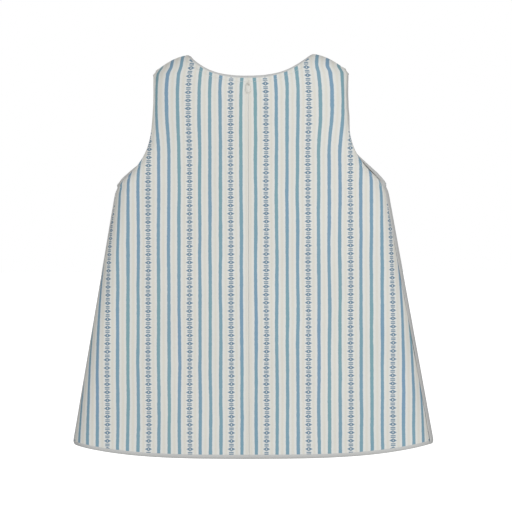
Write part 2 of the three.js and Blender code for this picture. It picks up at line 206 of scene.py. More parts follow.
class PinaforeCloth(bpy.types.PropertyGroup):
    """The cloth, its woven stripes and its sewing."""

    thickness: length("Cloth thickness", "Thickness of the striped cloth", 0.0008)
    facing_thickness: length("Facing thickness", "Thickness of the plain cloth", 0.0006)
    facing_depth: length("Facing lie", "How far inside the face the facings lie", 0.0031)
    edge_roll: length("Edge roll", "Width over which the neck and armhole edges turn in", 0.0055)
    edge_sink: length("Edge sink", "Depth to which the neck and armhole edges turn in", 0.0045)
    hem_roll: length("Hem roll", "Height over which the hem turns in", 0.0062)
    hem_sink: length("Hem sink", "Depth to which the hem turns in", 0.0040)
    hem_lie: length("Hem lie", "How far inside the face the turned-up cloth lies", 0.0022)
    hem_settle: length("Hem settle", "Height in which the turned-up cloth comes to lie flat", 0.009)
    shoulder_calm: number("Shoulder calm", "Share of the neck edge's turn lost at the shoulder", 0.65)
    underarm_calm: number("Underarm calm", "Share of the armhole edge's turn lost at the underarm", 0.75)
    calm_start: length("Calm start", "Height at which the neck edge starts to turn less", -0.030)
    calm_height: length("Calm height", "Height in which the edges' turn changes", 0.024)
    seam_roll: length("Seam roll", "Radius of the pressed seam edges", 0.0006)
    seam_gap: length("Seam gap", "Half the gap at the centre-back seam", 0.00003)
    side_gap: length("Side gap", "Half the gap at the side seams", 0.0001)
    groove_depth: length("Groove depth", "How deep the topstitching pulls the cloth in", 0.00032)
    groove_width: length("Groove width", "Half the width of the topstitching's groove", 0.0009)
    pucker_depth: length("Pucker depth", "Height of the puckers beside the topstitching", 0.00022)
    pucker_width: length("Pucker width", "Half the width of the puckered band", 0.004)
    wave_high: length("Waves, high", "Height of the broad waves at the neck", 0.0005)
    wave_low: length("Waves, low", "Height of the broad waves at the hem", 0.0015)
    wave_fine: length("Fine waves", "Height of the fine waves", 0.00028)
    # The plain bands below carry no stripes and are coloured with the edge colour, a painted shade of the
    # turned edges.
    edge_plain_shade: length("Plain edge", "Plain cloth along the neck and the armholes", 0.0026)
    front_plain_shade: length("Plain front edge", "Plain cloth along the front's armholes", 0.0060)
    hem_plain_shade: length("Plain hem", "Plain cloth along the hem", 0.0050)
    stitch_inset: length("Topstitch inset", "From the edge to the topstitching", 0.0068)
    stitch_length: length("Stitch length", "Length of one topstitch", 0.0026)
    stitch_gap: length("Stitch gap", "From one topstitch to the next", 0.0005)
    thread: length("Thread", "Radius of the sewing thread", 0.00019)
    pitch: length("Stripe pitch", "Spacing of the woven stripes", 0.0119)
    first_stripe: length("First stripe", "From the seam to the first stripe", 0.0082)
    stripe_half: length("Stripe half width", "Half the width of a blue stripe", 0.0019)
    stripe_soft: length("Stripe softness", "Width over which a stripe's edge fades", 0.0005)
    stripe_wobble: length("Stripe wobble", "Unevenness of a stripe's edges", 0.0008)
    stripe_bend: length("Stripe bend", "How far the stripes waver sideways", 0.0024)
    stripe_lean: length("Stripe lean", "How far the stripes lean inwards on the shoulders", 0.0028)
    lean_height: length("Lean height", "Height over which the stripes lean", 0.045)
    ground_band: length("Ground band", "Width over which the ground turns from cream to ecru", 0.0026)
    motif_half: length("Motif half width", "Half the width of a motif column", 0.0032)
    motif_pitch: length("Motif pitch", "Height of one lozenge and one pair of bars", 0.0092)
    # The side margin is a plain band too, coloured with the painted shade of the edge colour.
    side_plain_shade: length("Side margin", "Plain cloth beside the front's side seams", 0.017)
    cream: colour("Cream", "Colour of the ground cloth", (0.715, 0.725, 0.700))
    ecru: colour("Ecru", "Colour of the ground midway between the stripes", (0.685, 0.672, 0.610))
    # Edge is painted shade: a grey darker than the cream, standing in for the shade on the turned edges.
    edge: colour("Edge", "Colour of the plain turned edges", (0.575, 0.580, 0.570))
    blue: colour("Blue", "Colour of the woven stripes", (0.135, 0.272, 0.425))
    teal: colour("Teal", "Colour to which the stripes drift", (0.150, 0.325, 0.372))
    motif: colour("Motif", "Colour of the woven motifs", (0.098, 0.200, 0.300))
    lining: colour("Lining", "Colour of the facings", (0.74, 0.71, 0.64))


class PinaforeTrim(bpy.types.PropertyGroup):
    """The concealed zip, the hook and eye, and the labels."""

    zip_top: length("Zip top", "From the neck edge down to the top of the coils", 0.007)
    zip_length: length("Zip length", "Length of the coils", 0.2)
    coil_pitch: length("Coil pitch", "Spacing of the coils' turns", 0.0012)
    tape_width: length("Tape width", "Width of each zip tape", 0.0128)
    tape_inner: length("Tape inner edge", "From the seam to each tape", 0.0012)
    tape_lie: length("Tape lie", "How far inside the cloth's face the tapes lie", 0.0016)
    tape_thickness: length("Tape thickness", "Thickness of the tapes", 0.00035)
    tape_ripple: length("Tape ripple", "Height of the tapes' gentle ripple", 0.00012)
    tape_overhang: length("Tape overhang", "How far the tapes run past the coils", 0.005)
    coil_middle: length("Coil middle", "From the seam to the middle of each coil", 0.00172)
    coil_lie: length("Coil lie", "How far inside the cloth's face the coils lie", 0.0029)
    coil_half_width: length("Coil half width", "Half the width of a coil", 0.00105)
    coil_half_depth: length("Coil half depth", "Half the depth of a coil", 0.00062)
    coil_start: length("Coil start", "From the bottom stop up to the first turn", 0.0006)
    hinge_drop: length("Pull hinge drop", "From the top of the coils to the pull's bar", 0.002)
    hinge_out: length("Pull hinge", "How far outside the cloth the pull's bar lies", 0.0016)
    hook_wire: length("Hook wire", "Radius of the wire of the hook and the eye", 0.00028)
    hook_drop: length("Hook drop", "From the neck edge down to the hook", 0.0032)
    size_label_width: length("Size label width", "Width of the blank size label", 0.024)
    size_label_height: length("Size label length", "Height of the blank size label", 0.026)
    care_label_width: length("Care label width", "Width of the blank care label", 0.026)
    care_label_height: length("Care label length", "Height of the blank care label", 0.053)
    size_label_x: length("Size label place", "From the seam to the size label", 0.020)
    size_label_z: length("Size label height", "Height of the size label's lower edge", -0.062)
    size_label_depth: length("Size label depth", "How far inside the face the size label lies", 0.0044)
    care_label_z: length("Care label height", "Height of the care label's lower edge", -0.375)
    care_label_inset: length("Care label inset", "From the side seam to the care label", 0.002)
    care_label_depth: length("Care label depth", "How far inside the face the care label lies", 0.0017)
    enamel: colour("Enamel", "Colour of the slider and pull", (0.69, 0.68, 0.63))
    tape: colour("Zip tape", "Colour of the zip's tapes", (0.72, 0.70, 0.64))
    nickel: colour("Nickel", "Colour of the hook and eye", (0.62, 0.61, 0.59))
    label: colour("Label", "Colour of the blank labels", (0.82, 0.81, 0.78))


class PinaforeStage(bpy.types.PropertyGroup):
    """The camera, the lights and the floor."""

    turn: angle("Turn", "How far round to the wearer's right the camera stands", 6)
    roll: angle("Roll", "How far the camera leans", 0.32)
    aim_x: length("Aim across", "Where the camera aims, across the dress", 0.0048)
    aim_z: length("Aim height", "Height at which the camera aims", -0.2300)
    rise: angle("Rise", "How far above level the camera stands", 0.5)
    distance: length("Distance", "From the camera to the dress", 6.48)
    lens: number("Lens", "Focal length", 400, "CAMERA")
    floor_drop: length("Floor drop", "From the origin down to the floor", 0.60)
    light_side: length("Light side", "How far the lights stand to their sides", 0.5)
    light_distance: length("Light distance", "How far the lights stand off", 2.3)
    light_size: length("Light size", "Side of the square lights", 2.4)
    ambient: number("Ambient", "Light from all round", 0.42)
    key_power: number("Key", "Power of the main light", 54, "POWER")
    fill_power: number("Fill", "Power of the second light", 48, "POWER")


# ---- the hanging shape ----
def blend(a, b, share):
    """The value that lies a share of the way from a to b."""
    return a + (b - a) * share


def smooth(share):
    """A share from 0 to 1 with soft ends."""
    share = np.clip(share, 0, 1)
    return share * share * (3 - 2 * share)


class Garment:
    """The outline of half a panel, and the flattened tube that it is wrapped round.

    The armhole is a cubic curve with two pulls, in metres. The neckline takes NECK_SHARE of the top
    edge, the side seam CORNER_SHARE of the side. NECK_POWER and HEM_POWER say how square those curves
    are, and CORNER_TURN how much the outline's slope changes at the underarm. The neck facings run
    from FACING_START to FACING_END of the half width, narrow to FACING_TIP past it by FACING_POWER,
    and reach up into the shoulder seam from FACING_RISE on. The armhole facings hang FACING_HANG of
    the height below the underarm, with an end rounded by FACING_ROUND.
    """

    ARMHOLE_PULLS = ((0.106, -0.100), (0.1216, -0.119))
    NECK_SHARE = 0.566
    CORNER_SHARE = 0.702
    NECK_POWER = {-1: 2.6, 1: 2.2}
    CORNER_TURN = 0.935
    HEM_POWER = 3.4
    FACING_START = 0.126
    FACING_END = 0.78
    FACING_TIP = 0.01
    FACING_POWER = 4
    FACING_RISE = 0.5
    FACING_RISE_WIDTH = 0.1
    FACING_HANG = 0.06
    FACING_ROUND = 1.3
    STEP = 0.1 * MM

    def __init__(self, shape, cloth):
        self.shape = shape
        self.cloth = cloth
        t = np.linspace(0, 1, 200)[:, None]
        ends = [(shape.tip_x, shape.tip_z), *self.ARMHOLE_PULLS, (shape.underarm_x, shape.underarm_z)]
        a, b, c, d = (np.array(point) for point in ends)
        curve = (1 - t) ** 3 * a + 3 * (1 - t) ** 2 * t * b + 3 * (1 - t) * t**2 * c + t**3 * d
        self.armhole_x = curve[::-1, 0]
        self.armhole_z = curve[::-1, 1]

    def fall(self, z):
        """The share of the way from the back neck down to the hem."""
        shape = self.shape
        return (-shape.back_neck_drop - z) / (-shape.back_neck_drop - shape.hem_z)

    def depth(self, z):
        return blend(self.shape.neck_depth, self.shape.hem_depth, self.fall(z))

    def half_width(self, z):
        shape = self.shape
        along = (shape.underarm_z - z) / (shape.underarm_z - shape.hem_corner_z)
        skirt = blend(shape.underarm_x, shape.hem_x, along)
        width = np.where(z <= shape.underarm_z, skirt, np.interp(z, self.armhole_z, self.armhole_x))
        near = np.clip(1 - np.abs(z - shape.underarm_z) / shape.underarm_round, 0, 1)
        high = np.clip(1 - (shape.tip_z - z) / shape.tip_round, 0, 1)
        width = width - 0.25 * shape.tip_round * high**2
        return width - 0.25 * self.CORNER_TURN * shape.underarm_round * near**2

    def back_edge_angle(self, z):
        shape = self.shape
        up = np.clip((z - shape.underarm_z) / (shape.tip_z - shape.underarm_z), 0, 0.5)
        return blend(shape.seam_angle, shape.armhole_angle, np.sin(np.pi * up))

    def section(self, z):
        """Radius, flat half width, start angle, join, and the two terms of the crown."""
        r = blend(self.shape.neck_side_radius, self.shape.hem_side_radius, self.fall(z))
        edge = np.where(z > self.shape.underarm_z, self.back_edge_angle(z), np.pi / 2)
        flat = self.half_width(z) + r * (1 - np.sin(edge)) - r
        start = np.arctan(2 * (self.depth(z) - r) / flat)
        join = flat + r * np.sin(start)
        rise = self.depth(z) - r * np.cos(start)
        slope = np.tan(start)
        return r, flat, start, join, 3 * rise / join**2 - slope / join, slope / join**2 - 2 * rise / join**3

    def reach(self, z, at_angle):
        """How far along the cloth a place on the round side lies."""
        r, _, start, join, _, _ = self.section(z)
        return join + r * (at_angle - start)

    def shoulder_z(self, x):
        shape = self.shape
        along = (np.abs(x) - shape.neck_half_width) / (self.half_width(shape.tip_z) - shape.neck_half_width)
        within = np.clip(along, 0, 1)
        return np.maximum(0, along) * shape.tip_z + 4 * within * (1 - within) * shape.shoulder_crown

    def surface(self, face, p, z):
        """Points of the outer face. p is the distance along the cloth from the centre line."""
        r, flat, start, join, square, cube = self.section(z)
        far = np.abs(p)
        turn = start + (far - join) / r
        side = far > join
        x = np.where(side, flat + r * np.sin(turn), far)
        y = np.where(side, r * np.cos(turn), self.depth(z) - square * far**2 - cube * far**3)
        below = np.clip((self.shoulder_z(x) - z) / self.shape.shoulder_roll, 0, 1)
        roll = np.sqrt(1 - (1 - below) ** 2)
        sign = np.where(p < 0, -1, 1)
        return np.stack([sign * x, face * (y * roll + self.shape.shoulder_gap * (1 - roll)), z], axis=-1)

    def outward(self, face, p, z):
        """Unit normals that point out of the dress."""
        step = self.STEP
        across = self.surface(face, p + step, z) - self.surface(face, p - step, z)
        along = self.surface(face, p, z - step) - self.surface(face, p, z - 2 * step)
        normal = np.cross(across, along) * -face
        normal = normal / np.linalg.norm(normal, axis=-1, keepdims=True)
        beyond = z > self.shoulder_z(self.surface(face, p, z)[..., 0]) - step / 2
        return np.where(beyond[..., None], np.array([0.0, 0.0, 1.0]), normal)

    # The outline of half a panel, in (p, z), for shares from 0 to 1 along each edge.
    def neck_z(self, face, x):
        drop = self.shape.back_neck_drop if face < 0 else self.shape.front_neck_drop
        return -drop * (1 - (x / self.shape.neck_half_width) ** self.NECK_POWER[face])

    def top_edge(self, face, s):
        shape = self.shape
        neck_x = np.minimum(s / self.NECK_SHARE, 1) * shape.neck_half_width
        along = (s - self.NECK_SHARE) / (1 - self.NECK_SHARE)
        tip_x = self.half_width(shape.tip_z)
        x = np.where(s <= self.NECK_SHARE, neck_x, blend(shape.neck_half_width, tip_x, along))
        z = np.where(s <= self.NECK_SHARE, self.neck_z(face, neck_x), self.shoulder_z(x))
        r, flat, start, join, _, _ = self.section(z)
        round_p = join + r * (np.arcsin(np.clip((x - flat) / r, -1, 1)) - start)
        return np.stack([np.where(x > join, round_p, x), z])

    def side_seam(self, face):
        """Angle of the side seam, measured from that face's flat middle."""
        return self.shape.seam_angle if face < 0 else np.pi - self.shape.seam_angle

    def side_edge(self, face, t):
        shape = self.shape
        seam = self.side_seam(face)
        low_z = blend(shape.hem_corner_z, shape.underarm_z, t / self.CORNER_SHARE)
        up = np.clip((t - self.CORNER_SHARE) / (1 - self.CORNER_SHARE), 0, 1)
        high_z = blend(shape.underarm_z, shape.tip_z, up)
        edge = self.back_edge_angle(high_z)
        if face > 0:
            edge = blend(seam, edge, smooth((high_z - shape.underarm_z) / shape.scoop))
        low = t < self.CORNER_SHARE
        z = np.where(low, low_z, high_z)
        p = self.reach(z, np.where(low, seam, edge))
        if face > 0:
            above = np.clip((z - shape.underarm_z) / shape.scoop_height, 0, 1)
            p = p - shape.scoop_depth * np.sin(np.pi * above) ** 2
        return np.stack([p, z])

    def bottom_edge(self, face, s):
        corner = np.full_like(s, self.shape.hem_corner_z)
        p = s * self.reach(corner, self.side_seam(face))
        return np.stack([p, self.hem_line(face, p, corner)])

    def hem_line(self, face, p, z):
        """Height of the hem under a place."""
        shape = self.shape
        x = np.minimum(np.abs(self.surface(face, p, z)[..., 0]) / shape.hem_x, 1)
        return blend(shape.hem_z, shape.hem_corner_z, x**self.HEM_POWER)

    def outline(self, face, s, t):
        """Where shares (s, t) of half a panel lie, in (p, z)."""
        zero, one = np.zeros_like(s), np.ones_like(s)
        top_left = self.top_edge(face, zero)
        left = np.stack([zero, blend(self.shape.hem_z, top_left[1], t)])
        edges = (1 - t) * self.bottom_edge(face, s) + t * self.top_edge(face, s)
        edges = edges + (1 - s) * left + s * self.side_edge(face, t)
        corners = (1 - s) * (1 - t) * self.bottom_edge(face, zero) + (1 - s) * t * top_left
        corners = corners + s * (1 - t) * self.bottom_edge(face, one) + s * t * self.top_edge(face, one)
        return edges - corners

    def edge_lines(self, face):
        """The neckline and the armhole of half a panel as rows of (p, z) points."""
        share = np.linspace(0, 1, 260)
        neck = self.top_edge(face, share * self.NECK_SHARE).T
        armhole = self.side_edge(face, blend(self.CORNER_SHARE, 1, share)).T
        return neck, armhole


def distance_to(line, p, z):
    """How far points lie from a line of points."""
    here = np.stack([p, z], axis=-1)
    best = np.full(len(p), np.inf)
    for a, b in zip(line[:-1], line[1:]):
        along = np.clip(((here - a) @ (b - a)) / max((b - a) @ (b - a), 1e-12), 0, 1)
        best = np.minimum(best, np.linalg.norm(here - a - along[:, None] * (b - a), axis=1))
    return best


def rolled(distance, width, depth):
    """How far an edge that turns in over a width sinks at a distance from it."""
    short = np.clip(1 - distance / width, 0, 1)
    return depth * (1 - np.sqrt(1 - short**2))


def ruffle(points, scale, seed):
    """Smooth noise at points, repeatable, from about -1 to 1."""
    offset = Vector((seed, 2.3 * seed, 0))
    return np.array([noise.noise(Vector(point) * scale + offset) for point in points])


class Panel:
    """Places the points of one face of the dress, with its turned edges, creases and soft waves.

    PUCKERS and the WAVES hold a scale and a seed of the noise. The waves are stretched downwards by
    their STRETCH, differ between the faces by FACE_SHIFT, and calm down within CALM_DEPTH of the
    side's middle plane and within CALM_DROP of a height just under the shoulder. SIDE_COSINE allows
    for the lean of the side seams.
    """

    PUCKERS = (120, 3)
    PUCKER_PLACE = 0.6
    BROAD_WAVES = (16, 5)
    BROAD_STRETCH = 0.35
    FINE_WAVES = (42, 9)
    FINE_STRETCH = 0.5
    FACE_SHIFT = 0.02
    CALM_DEPTH = 12 * MM
    CALM_SHARE = 0.2
    CALM_DROP = 40 * MM
    TIP_EASE = 0.6
    SIDE_COSINE = 0.985

    def __init__(self, garment, face):
        self.garment = garment
        self.face = face
        self.cloth = garment.cloth
        self.neck, self.armhole = garment.edge_lines(face)

    def margins(self, p, z):
        """Distances to the neckline, the armhole, the side seam and the hem."""
        garment = self.garment
        far = np.abs(p)
        beside = (garment.reach(z, garment.side_seam(self.face)) - far) * self.SIDE_COSINE
        side = np.where(z < garment.shape.underarm_z, beside, FAR_OFF)
        hem = z - garment.hem_line(self.face, p, z)
        neck = distance_to(self.neck, far, z)
        armhole = distance_to(self.armhole, far, z)
        return neck, armhole, np.maximum(side, 0), np.maximum(hem, 0)

    def sink(self, p, z, base):
        """How far inwards the finished face lies from the bare surface."""
        cloth = self.cloth
        neck, armhole, side, hem = self.margins(p, z)
        edge = np.minimum(neck, armhole)
        shoulder = np.hypot(base[:, 1], base[:, 2] - self.garment.shoulder_z(base[:, 0]))
        shoulder = np.where(np.abs(base[:, 0]) > self.garment.shape.neck_half_width, shoulder, FAR_OFF)
        seam = cloth.seam_roll
        at_shoulder = smooth((z - cloth.calm_start) / cloth.calm_height)
        at_underarm = smooth(1 - (z - self.garment.shape.underarm_z) / cloth.calm_height)
        neck_sink = cloth.edge_sink * (1 - cloth.shoulder_calm * at_shoulder)
        armhole_sink = cloth.edge_sink * (1 - cloth.underarm_calm * at_underarm)
        depth = rolled(neck, cloth.edge_roll, neck_sink)
        depth = np.maximum(depth, rolled(armhole, cloth.edge_roll, armhole_sink))
        depth = np.maximum(depth, rolled(side, seam, seam))
        depth = np.maximum(depth, rolled(shoulder, seam, seam))
        depth = np.maximum(depth, rolled(hem, cloth.hem_roll, cloth.hem_sink))
        if self.face < 0:
            depth = np.maximum(depth, rolled(np.abs(p), seam, seam))
        groove = np.exp(-(((edge - cloth.stitch_inset) / cloth.groove_width) ** 2))
        puckered = np.exp(-(((edge - self.PUCKER_PLACE * cloth.stitch_inset) / cloth.pucker_width) ** 2))
        rows = np.stack([p, z, np.zeros_like(p)], axis=-1)
        depth = depth + cloth.groove_depth * groove
        return depth + cloth.pucker_depth * puckered * ruffle(rows, *self.PUCKERS)

    def waves(self, p, z, base):
        """The soft unevenness of cloth that hangs: long shallow folds that grow towards the hem."""
        shape = self.garment.shape
        low = smooth(self.garment.fall(z))
        apart = np.full_like(p, self.FACE_SHIFT * self.face)
        broad = ruffle(np.stack([p, self.BROAD_STRETCH * z, apart], axis=-1), *self.BROAD_WAVES)
        level = np.zeros_like(p)
        fine = ruffle(np.stack([p, self.FINE_STRETCH * z, level], axis=-1), *self.FINE_WAVES)
        off_side = smooth(np.abs(base[:, 1]) / self.CALM_DEPTH)
        off_shoulder = smooth((self.CALM_SHARE * shape.tip_z - z) / self.CALM_DROP)
        height = blend(self.cloth.wave_high, self.cloth.wave_low, low) * broad + self.cloth.wave_fine * fine
        return off_side * off_shoulder * height

    def eased(self, p, z):
        """Distances from the centre line, moved out beside the armhole to leave cloth for its edge."""
        shape = self.garment.shape
        share = np.clip(p / np.interp(z, self.armhole[:, 1], self.armhole[:, 0]), 0, 1)
        high = smooth((z - shape.underarm_z - shape.ease_start) / shape.ease_rise)
        tip = smooth(self.TIP_EASE + (shape.tip_z - z) / shape.ease_fade)
        return p + shape.armhole_ease * high * tip * share**3

    def plain(self, p, z, turn):
        """How far past the plain margins a place lies; stripes show from 1 up, and below 1 the cloth is
        painted the grey edge shade.
        """
        cloth = self.cloth
        neck, armhole, seam, hem = self.margins(p, z)
        plain = np.minimum(np.minimum(neck, armhole) / cloth.edge_plain_shade, (hem - turn) / cloth.hem_plain_shade)
        if self.face < 0:
            return plain
        return np.minimum(plain, np.minimum(armhole / cloth.front_plain_shade, seam / cloth.side_plain_shade))

    def place(self, side, s, t, turn):
        """Points, texture places and how far past the plain margins; turn is how far past the hem."""
        garment = self.garment
        cloth = self.cloth
        shape = garment.shape
        p, z = garment.outline(self.face, s, t)
        side_gap = np.where(z < shape.underarm_z, -cloth.side_gap, 0)
        p = p + blend(cloth.seam_gap if self.face < 0 else 0, side_gap, s)
        arc = np.clip(turn / cloth.hem_roll, 0, np.pi / 2)
        run = np.maximum(turn - cloth.hem_roll * np.pi / 2, 0)
        height = z + cloth.hem_roll * (1 - np.cos(arc)) + run
        signed = side * self.eased(p, z)
        ridge = garment.shoulder_z(garment.surface(self.face, signed, height)[:, 0])
        height = np.minimum(height, ridge)
        base = garment.surface(self.face, signed, height)
        normal = garment.outward(self.face, signed, height)
        settled = smooth(run / cloth.hem_settle)
        inner = blend(cloth.hem_sink * (1 + np.sin(arc)), cloth.hem_lie, settled)
        sink = np.where(turn > 0, inner, self.sink(side * p, z, base))
        lift = self.waves(signed, height, base)
        points = base + normal * (lift - sink)[:, None]
        lean = cloth.stripe_lean * smooth(1 + z / cloth.lean_height)
        places = np.stack([side * (p + lean), z - turn], axis=-1)
        return points, places, self.plain(side * p, z, turn)

    def lie(self, p, z, depth):
        """Points at a depth inside the face, following its waves."""
        base = self.garment.surface(self.face, p, z)
        normal = self.garment.outward(self.face, p, z)
        return base + normal * (self.waves(p, z, base) - depth)[:, None]


# ---- meshes ----
def finish_mesh(bm, name, material, body=DRESS, smooth_faces=True):
    """Turns a bmesh into a piece that rides on a body."""
    mesh = bpy.data.meshes.new(name)
    for face in bm.faces:
        face.smooth = smooth_faces
    bm.to_mesh(mesh)
    bm.free()
    mesh.materials.append(material)
    piece = bpy.data.objects.new(name, mesh)
    bpy.context.scene.collection.objects.link(piece)
    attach(piece, body)
    return piece


def cloth_grid(columns, rows, place):
    """A grid whose points and texture places come from place(column, row) on whole arrays."""
    bm = bmesh.new()
    bmesh.ops.create_grid(bm, x_segments=columns, y_segments=rows, size=1)
    bm.verts.ensure_lookup_table()
    corners = np.array([vert.co[:2] for vert in bm.verts])
    i = np.rint((corners[:, 0] + 1) / 2 * columns).astype(int)
    j = np.rint((corners[:, 1] + 1) / 2 * rows).astype(int)
    points, places, margins = place(i, j)
    layer = bm.loops.layers.uv.new("cloth")
    trim = bm.loops.layers.uv.new("margin")
    for vert, point in zip(bm.verts, points):
        vert.co = point
    for face in bm.faces:
        for loop in face.loops:
            k = loop.vert.index
            loop[layer].uv = places[k]
            loop[trim].uv = (margins[k], 0)
    return bm


def graded(size, close, far, cell):
    """Shares from 0 to 1 along a length: close-set at the ends as listed, and even between."""
    low = np.array([d / size for d in close])
    high = np.array([1 - d / size for d in reversed(far)])
    count = max(2, round((high[0] - low[-1]) * size / cell))
    middle = np.linspace(low[-1], high[0], count + 1)[1:-1]
    return np.concatenate([low, middle, high])


def thicken(piece, thickness):
    """Gives a sheet its thickness on the inside."""
    solid = piece.modifiers.new("thickness", "SOLIDIFY")
    solid.thickness = thickness
    solid.offset = -1
    solid.use_even_offset = False


def outward_faces(bm, face):
    """Turns the faces so that they point out of the dress."""
    bm.normal_update()
    middle = sum((f.normal.y * f.calc_area() for f in bm.faces), 0.0)
    if middle * face < 0:
        bmesh.ops.reverse_faces(bm, faces=bm.faces)


def make_panel(garment, face, sides, name):
    """One cut piece of the striped cloth, with its hem turned up inside."""
    panel = Panel(garment, face)
    across = graded(GRID_WIDTH, SEAM_STEPS, EDGE_STEPS, GRID_CELL_WIDTH)
    up = graded(GRID_HEIGHT, HEM_STEPS, EDGE_STEPS, GRID_CELL_HEIGHT)
    if len(sides) == 2:
        across = np.concatenate([-across[:0:-1], across])
    turns = np.concatenate([-np.array(TURN_STEPS[::-1]), up])

    def place(i, j):
        s = across[i]
        t = np.maximum(turns[j], 0)
        turn = np.maximum(-turns[j], 0)
        side = np.where(s < 0, -1, 1) if len(sides) == 2 else sides[0]
        return panel.place(side, np.abs(s), t, turn)

    bm = cloth_grid(len(across) - 1, len(turns) - 1, place)
    outward_faces(bm, face)
    piece = finish_mesh(bm, name + "_cloth", striped())
    thicken(piece, garment.cloth.thickness)
    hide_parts(name)


def capsule(bm, start, end, radius, rings=3, sides=6):
    """A short rounded length of thread or wire between two points."""
    a, b = Vector(start), Vector(end)
    along = b - a
    turn = along.to_track_quat("Z", "Y").to_matrix().to_4x4()
    scale = Matrix.Diagonal((radius, radius, along.length / 2 + CAPSULE_END * radius, 1))
    matrix = Matrix.Translation((a + b) / 2) @ turn @ scale
    bmesh.ops.create_uvsphere(bm, u_segments=sides, v_segments=rings + 1, radius=1, matrix=matrix)


def spaced(points, step):
    """Points at even steps along a line of points."""
    runs = np.concatenate([[0], np.cumsum(np.linalg.norm(np.diff(points, axis=0), axis=1))])
    count = max(2, int(runs[-1] / step))
    marks = np.linspace(0, runs[-1], count + 1)
    return np.stack([np.interp(marks, runs, points[:, k]) for k in range(points.shape[1])], axis=-1)


def beside_line(line, offset):
    """A line of (p, z) points moved sideways, to the right of the way it runs."""
    along = np.gradient(line, axis=0)
    along = along / np.linalg.norm(along, axis=1, keepdims=True)
    return line + np.stack([along[:, 1], -along[:, 0]], axis=-1) * offset


def stitch_run(bm, panel, side, line, cloth):
    """A row of topstitches along a line of (p, z) points on the outside."""
    step = cloth.stitch_length + cloth.stitch_gap
    marks = spaced(line, step)
    share = cloth.stitch_length / step
    starts = marks[:-1]
    ends = marks[:-1] + (marks[1:] - marks[:-1]) * share
    for a, b in zip(starts, ends):
        pair = np.array([a, b])
        p = side * panel.eased(pair[:, 0], pair[:, 1])
        base = panel.garment.surface(panel.face, p, pair[:, 1])
        normal = panel.garment.outward(panel.face, p, pair[:, 1])
        lift = panel.waves(p, pair[:, 1], base) - panel.sink(side * pair[:, 0], pair[:, 1], base)
        points = base + normal * (lift + cloth.thread)[:, None]
        capsule(bm, points[0], points[1], cloth.thread)


def small_bevel(bm, edges, size, segments=2):
    """Rounds edges of a small hard piece."""
    bmesh.ops.bevel(
        bm, geom=edges, offset=size, segments=segments, affect="EDGES", profile=0.5, material=-1
    )


def block(bm, low, high, round_by):
    """A block with rounded edges, given by its lowest and highest corners."""
    low, high = Vector(low), Vector(high)
    matrix = Matrix.Translation((low + high) / 2) @ Matrix.Diagonal((*(high - low), 1))
    made = bmesh.ops.create_cube(bm, size=1, matrix=matrix)["verts"]
    small_bevel(bm, list({edge for vert in made for edge in vert.link_edges}), round_by)


def plate(bm, outline, near, far, round_by):
    """A flat plate across Y with that outline of (x, z) points and rounded rims."""
    verts = [bm.verts.new((x, near, z)) for x, z in outline]
    face = bm.faces.new(verts)
    pushed = bmesh.ops.extrude_face_region(bm, geom=[face])["geom"]
    moved = [item for item in pushed if isinstance(item, bmesh.types.BMVert)]
    bmesh.ops.translate(bm, vec=(0, far - near, 0), verts=moved)
    sides = {edge for vert in verts + moved for edge in vert.link_edges}
    rims = [edge for edge in sides if abs(edge.verts[0].co.y - edge.verts[1].co.y) < 1e-9]
    small_bevel(bm, rims, round_by)


def tube(bm, points, radius, sides=10):
    """A wire along a smooth line through points, with rounded ends."""
    line = smooth_line(np.array(points))
    ways = np.gradient(line, axis=0)
    rings = []
    for point, way in zip(line, ways):
        turn = Vector(way).to_track_quat("Z", "Y").to_matrix().to_4x4()
        matrix = Matrix.Translation(Vector(point)) @ turn
        ring = bmesh.ops.create_circle(bm, segments=sides, radius=radius, matrix=matrix)["verts"]
        rings.append(list({edge for vert in ring for edge in vert.link_edges}))
    for first, second in zip(rings[:-1], rings[1:]):
        bmesh.ops.bridge_loops(bm, edges=first + second)
    for point in (line[0], line[-1]):
        bmesh.ops.create_uvsphere(
            bm, u_segments=sides, v_segments=6, radius=radius, matrix=Matrix.Translation(Vector(point))
        )
    bmesh.ops.recalc_face_normals(bm, faces=bm.faces)


def smooth_line(points, steps=6):
    """A Catmull-Rom line through points."""
    ends = np.vstack([2 * points[0] - points[1], points, 2 * points[-1] - points[-2]])
    t = np.linspace(0, 1, steps, endpoint=False)[:, None]
    runs = []
    for a, b, c, d in zip(ends[:-3], ends[1:-2], ends[2:-1], ends[3:]):
        square = 2 * a - 5 * b + 4 * c - d
        cube = 3 * b - a - 3 * c + d
        runs.append((2 * b + (c - a) * t + square * t**2 + cube * t**3) / 2)
    return np.vstack([*runs, points[-1:]])


def zip_frame(shape):
    """The zip's own frame: Z runs up the centre-back line, and +Y goes inside from the cloth's face."""
    lean = math.atan((shape.hem_depth - shape.neck_depth) / (-shape.back_neck_drop - shape.hem_z))
    place = Matrix.Translation((0, -shape.neck_depth, -shape.back_neck_drop))
    return place @ Matrix.Rotation(-lean, 4, "X")


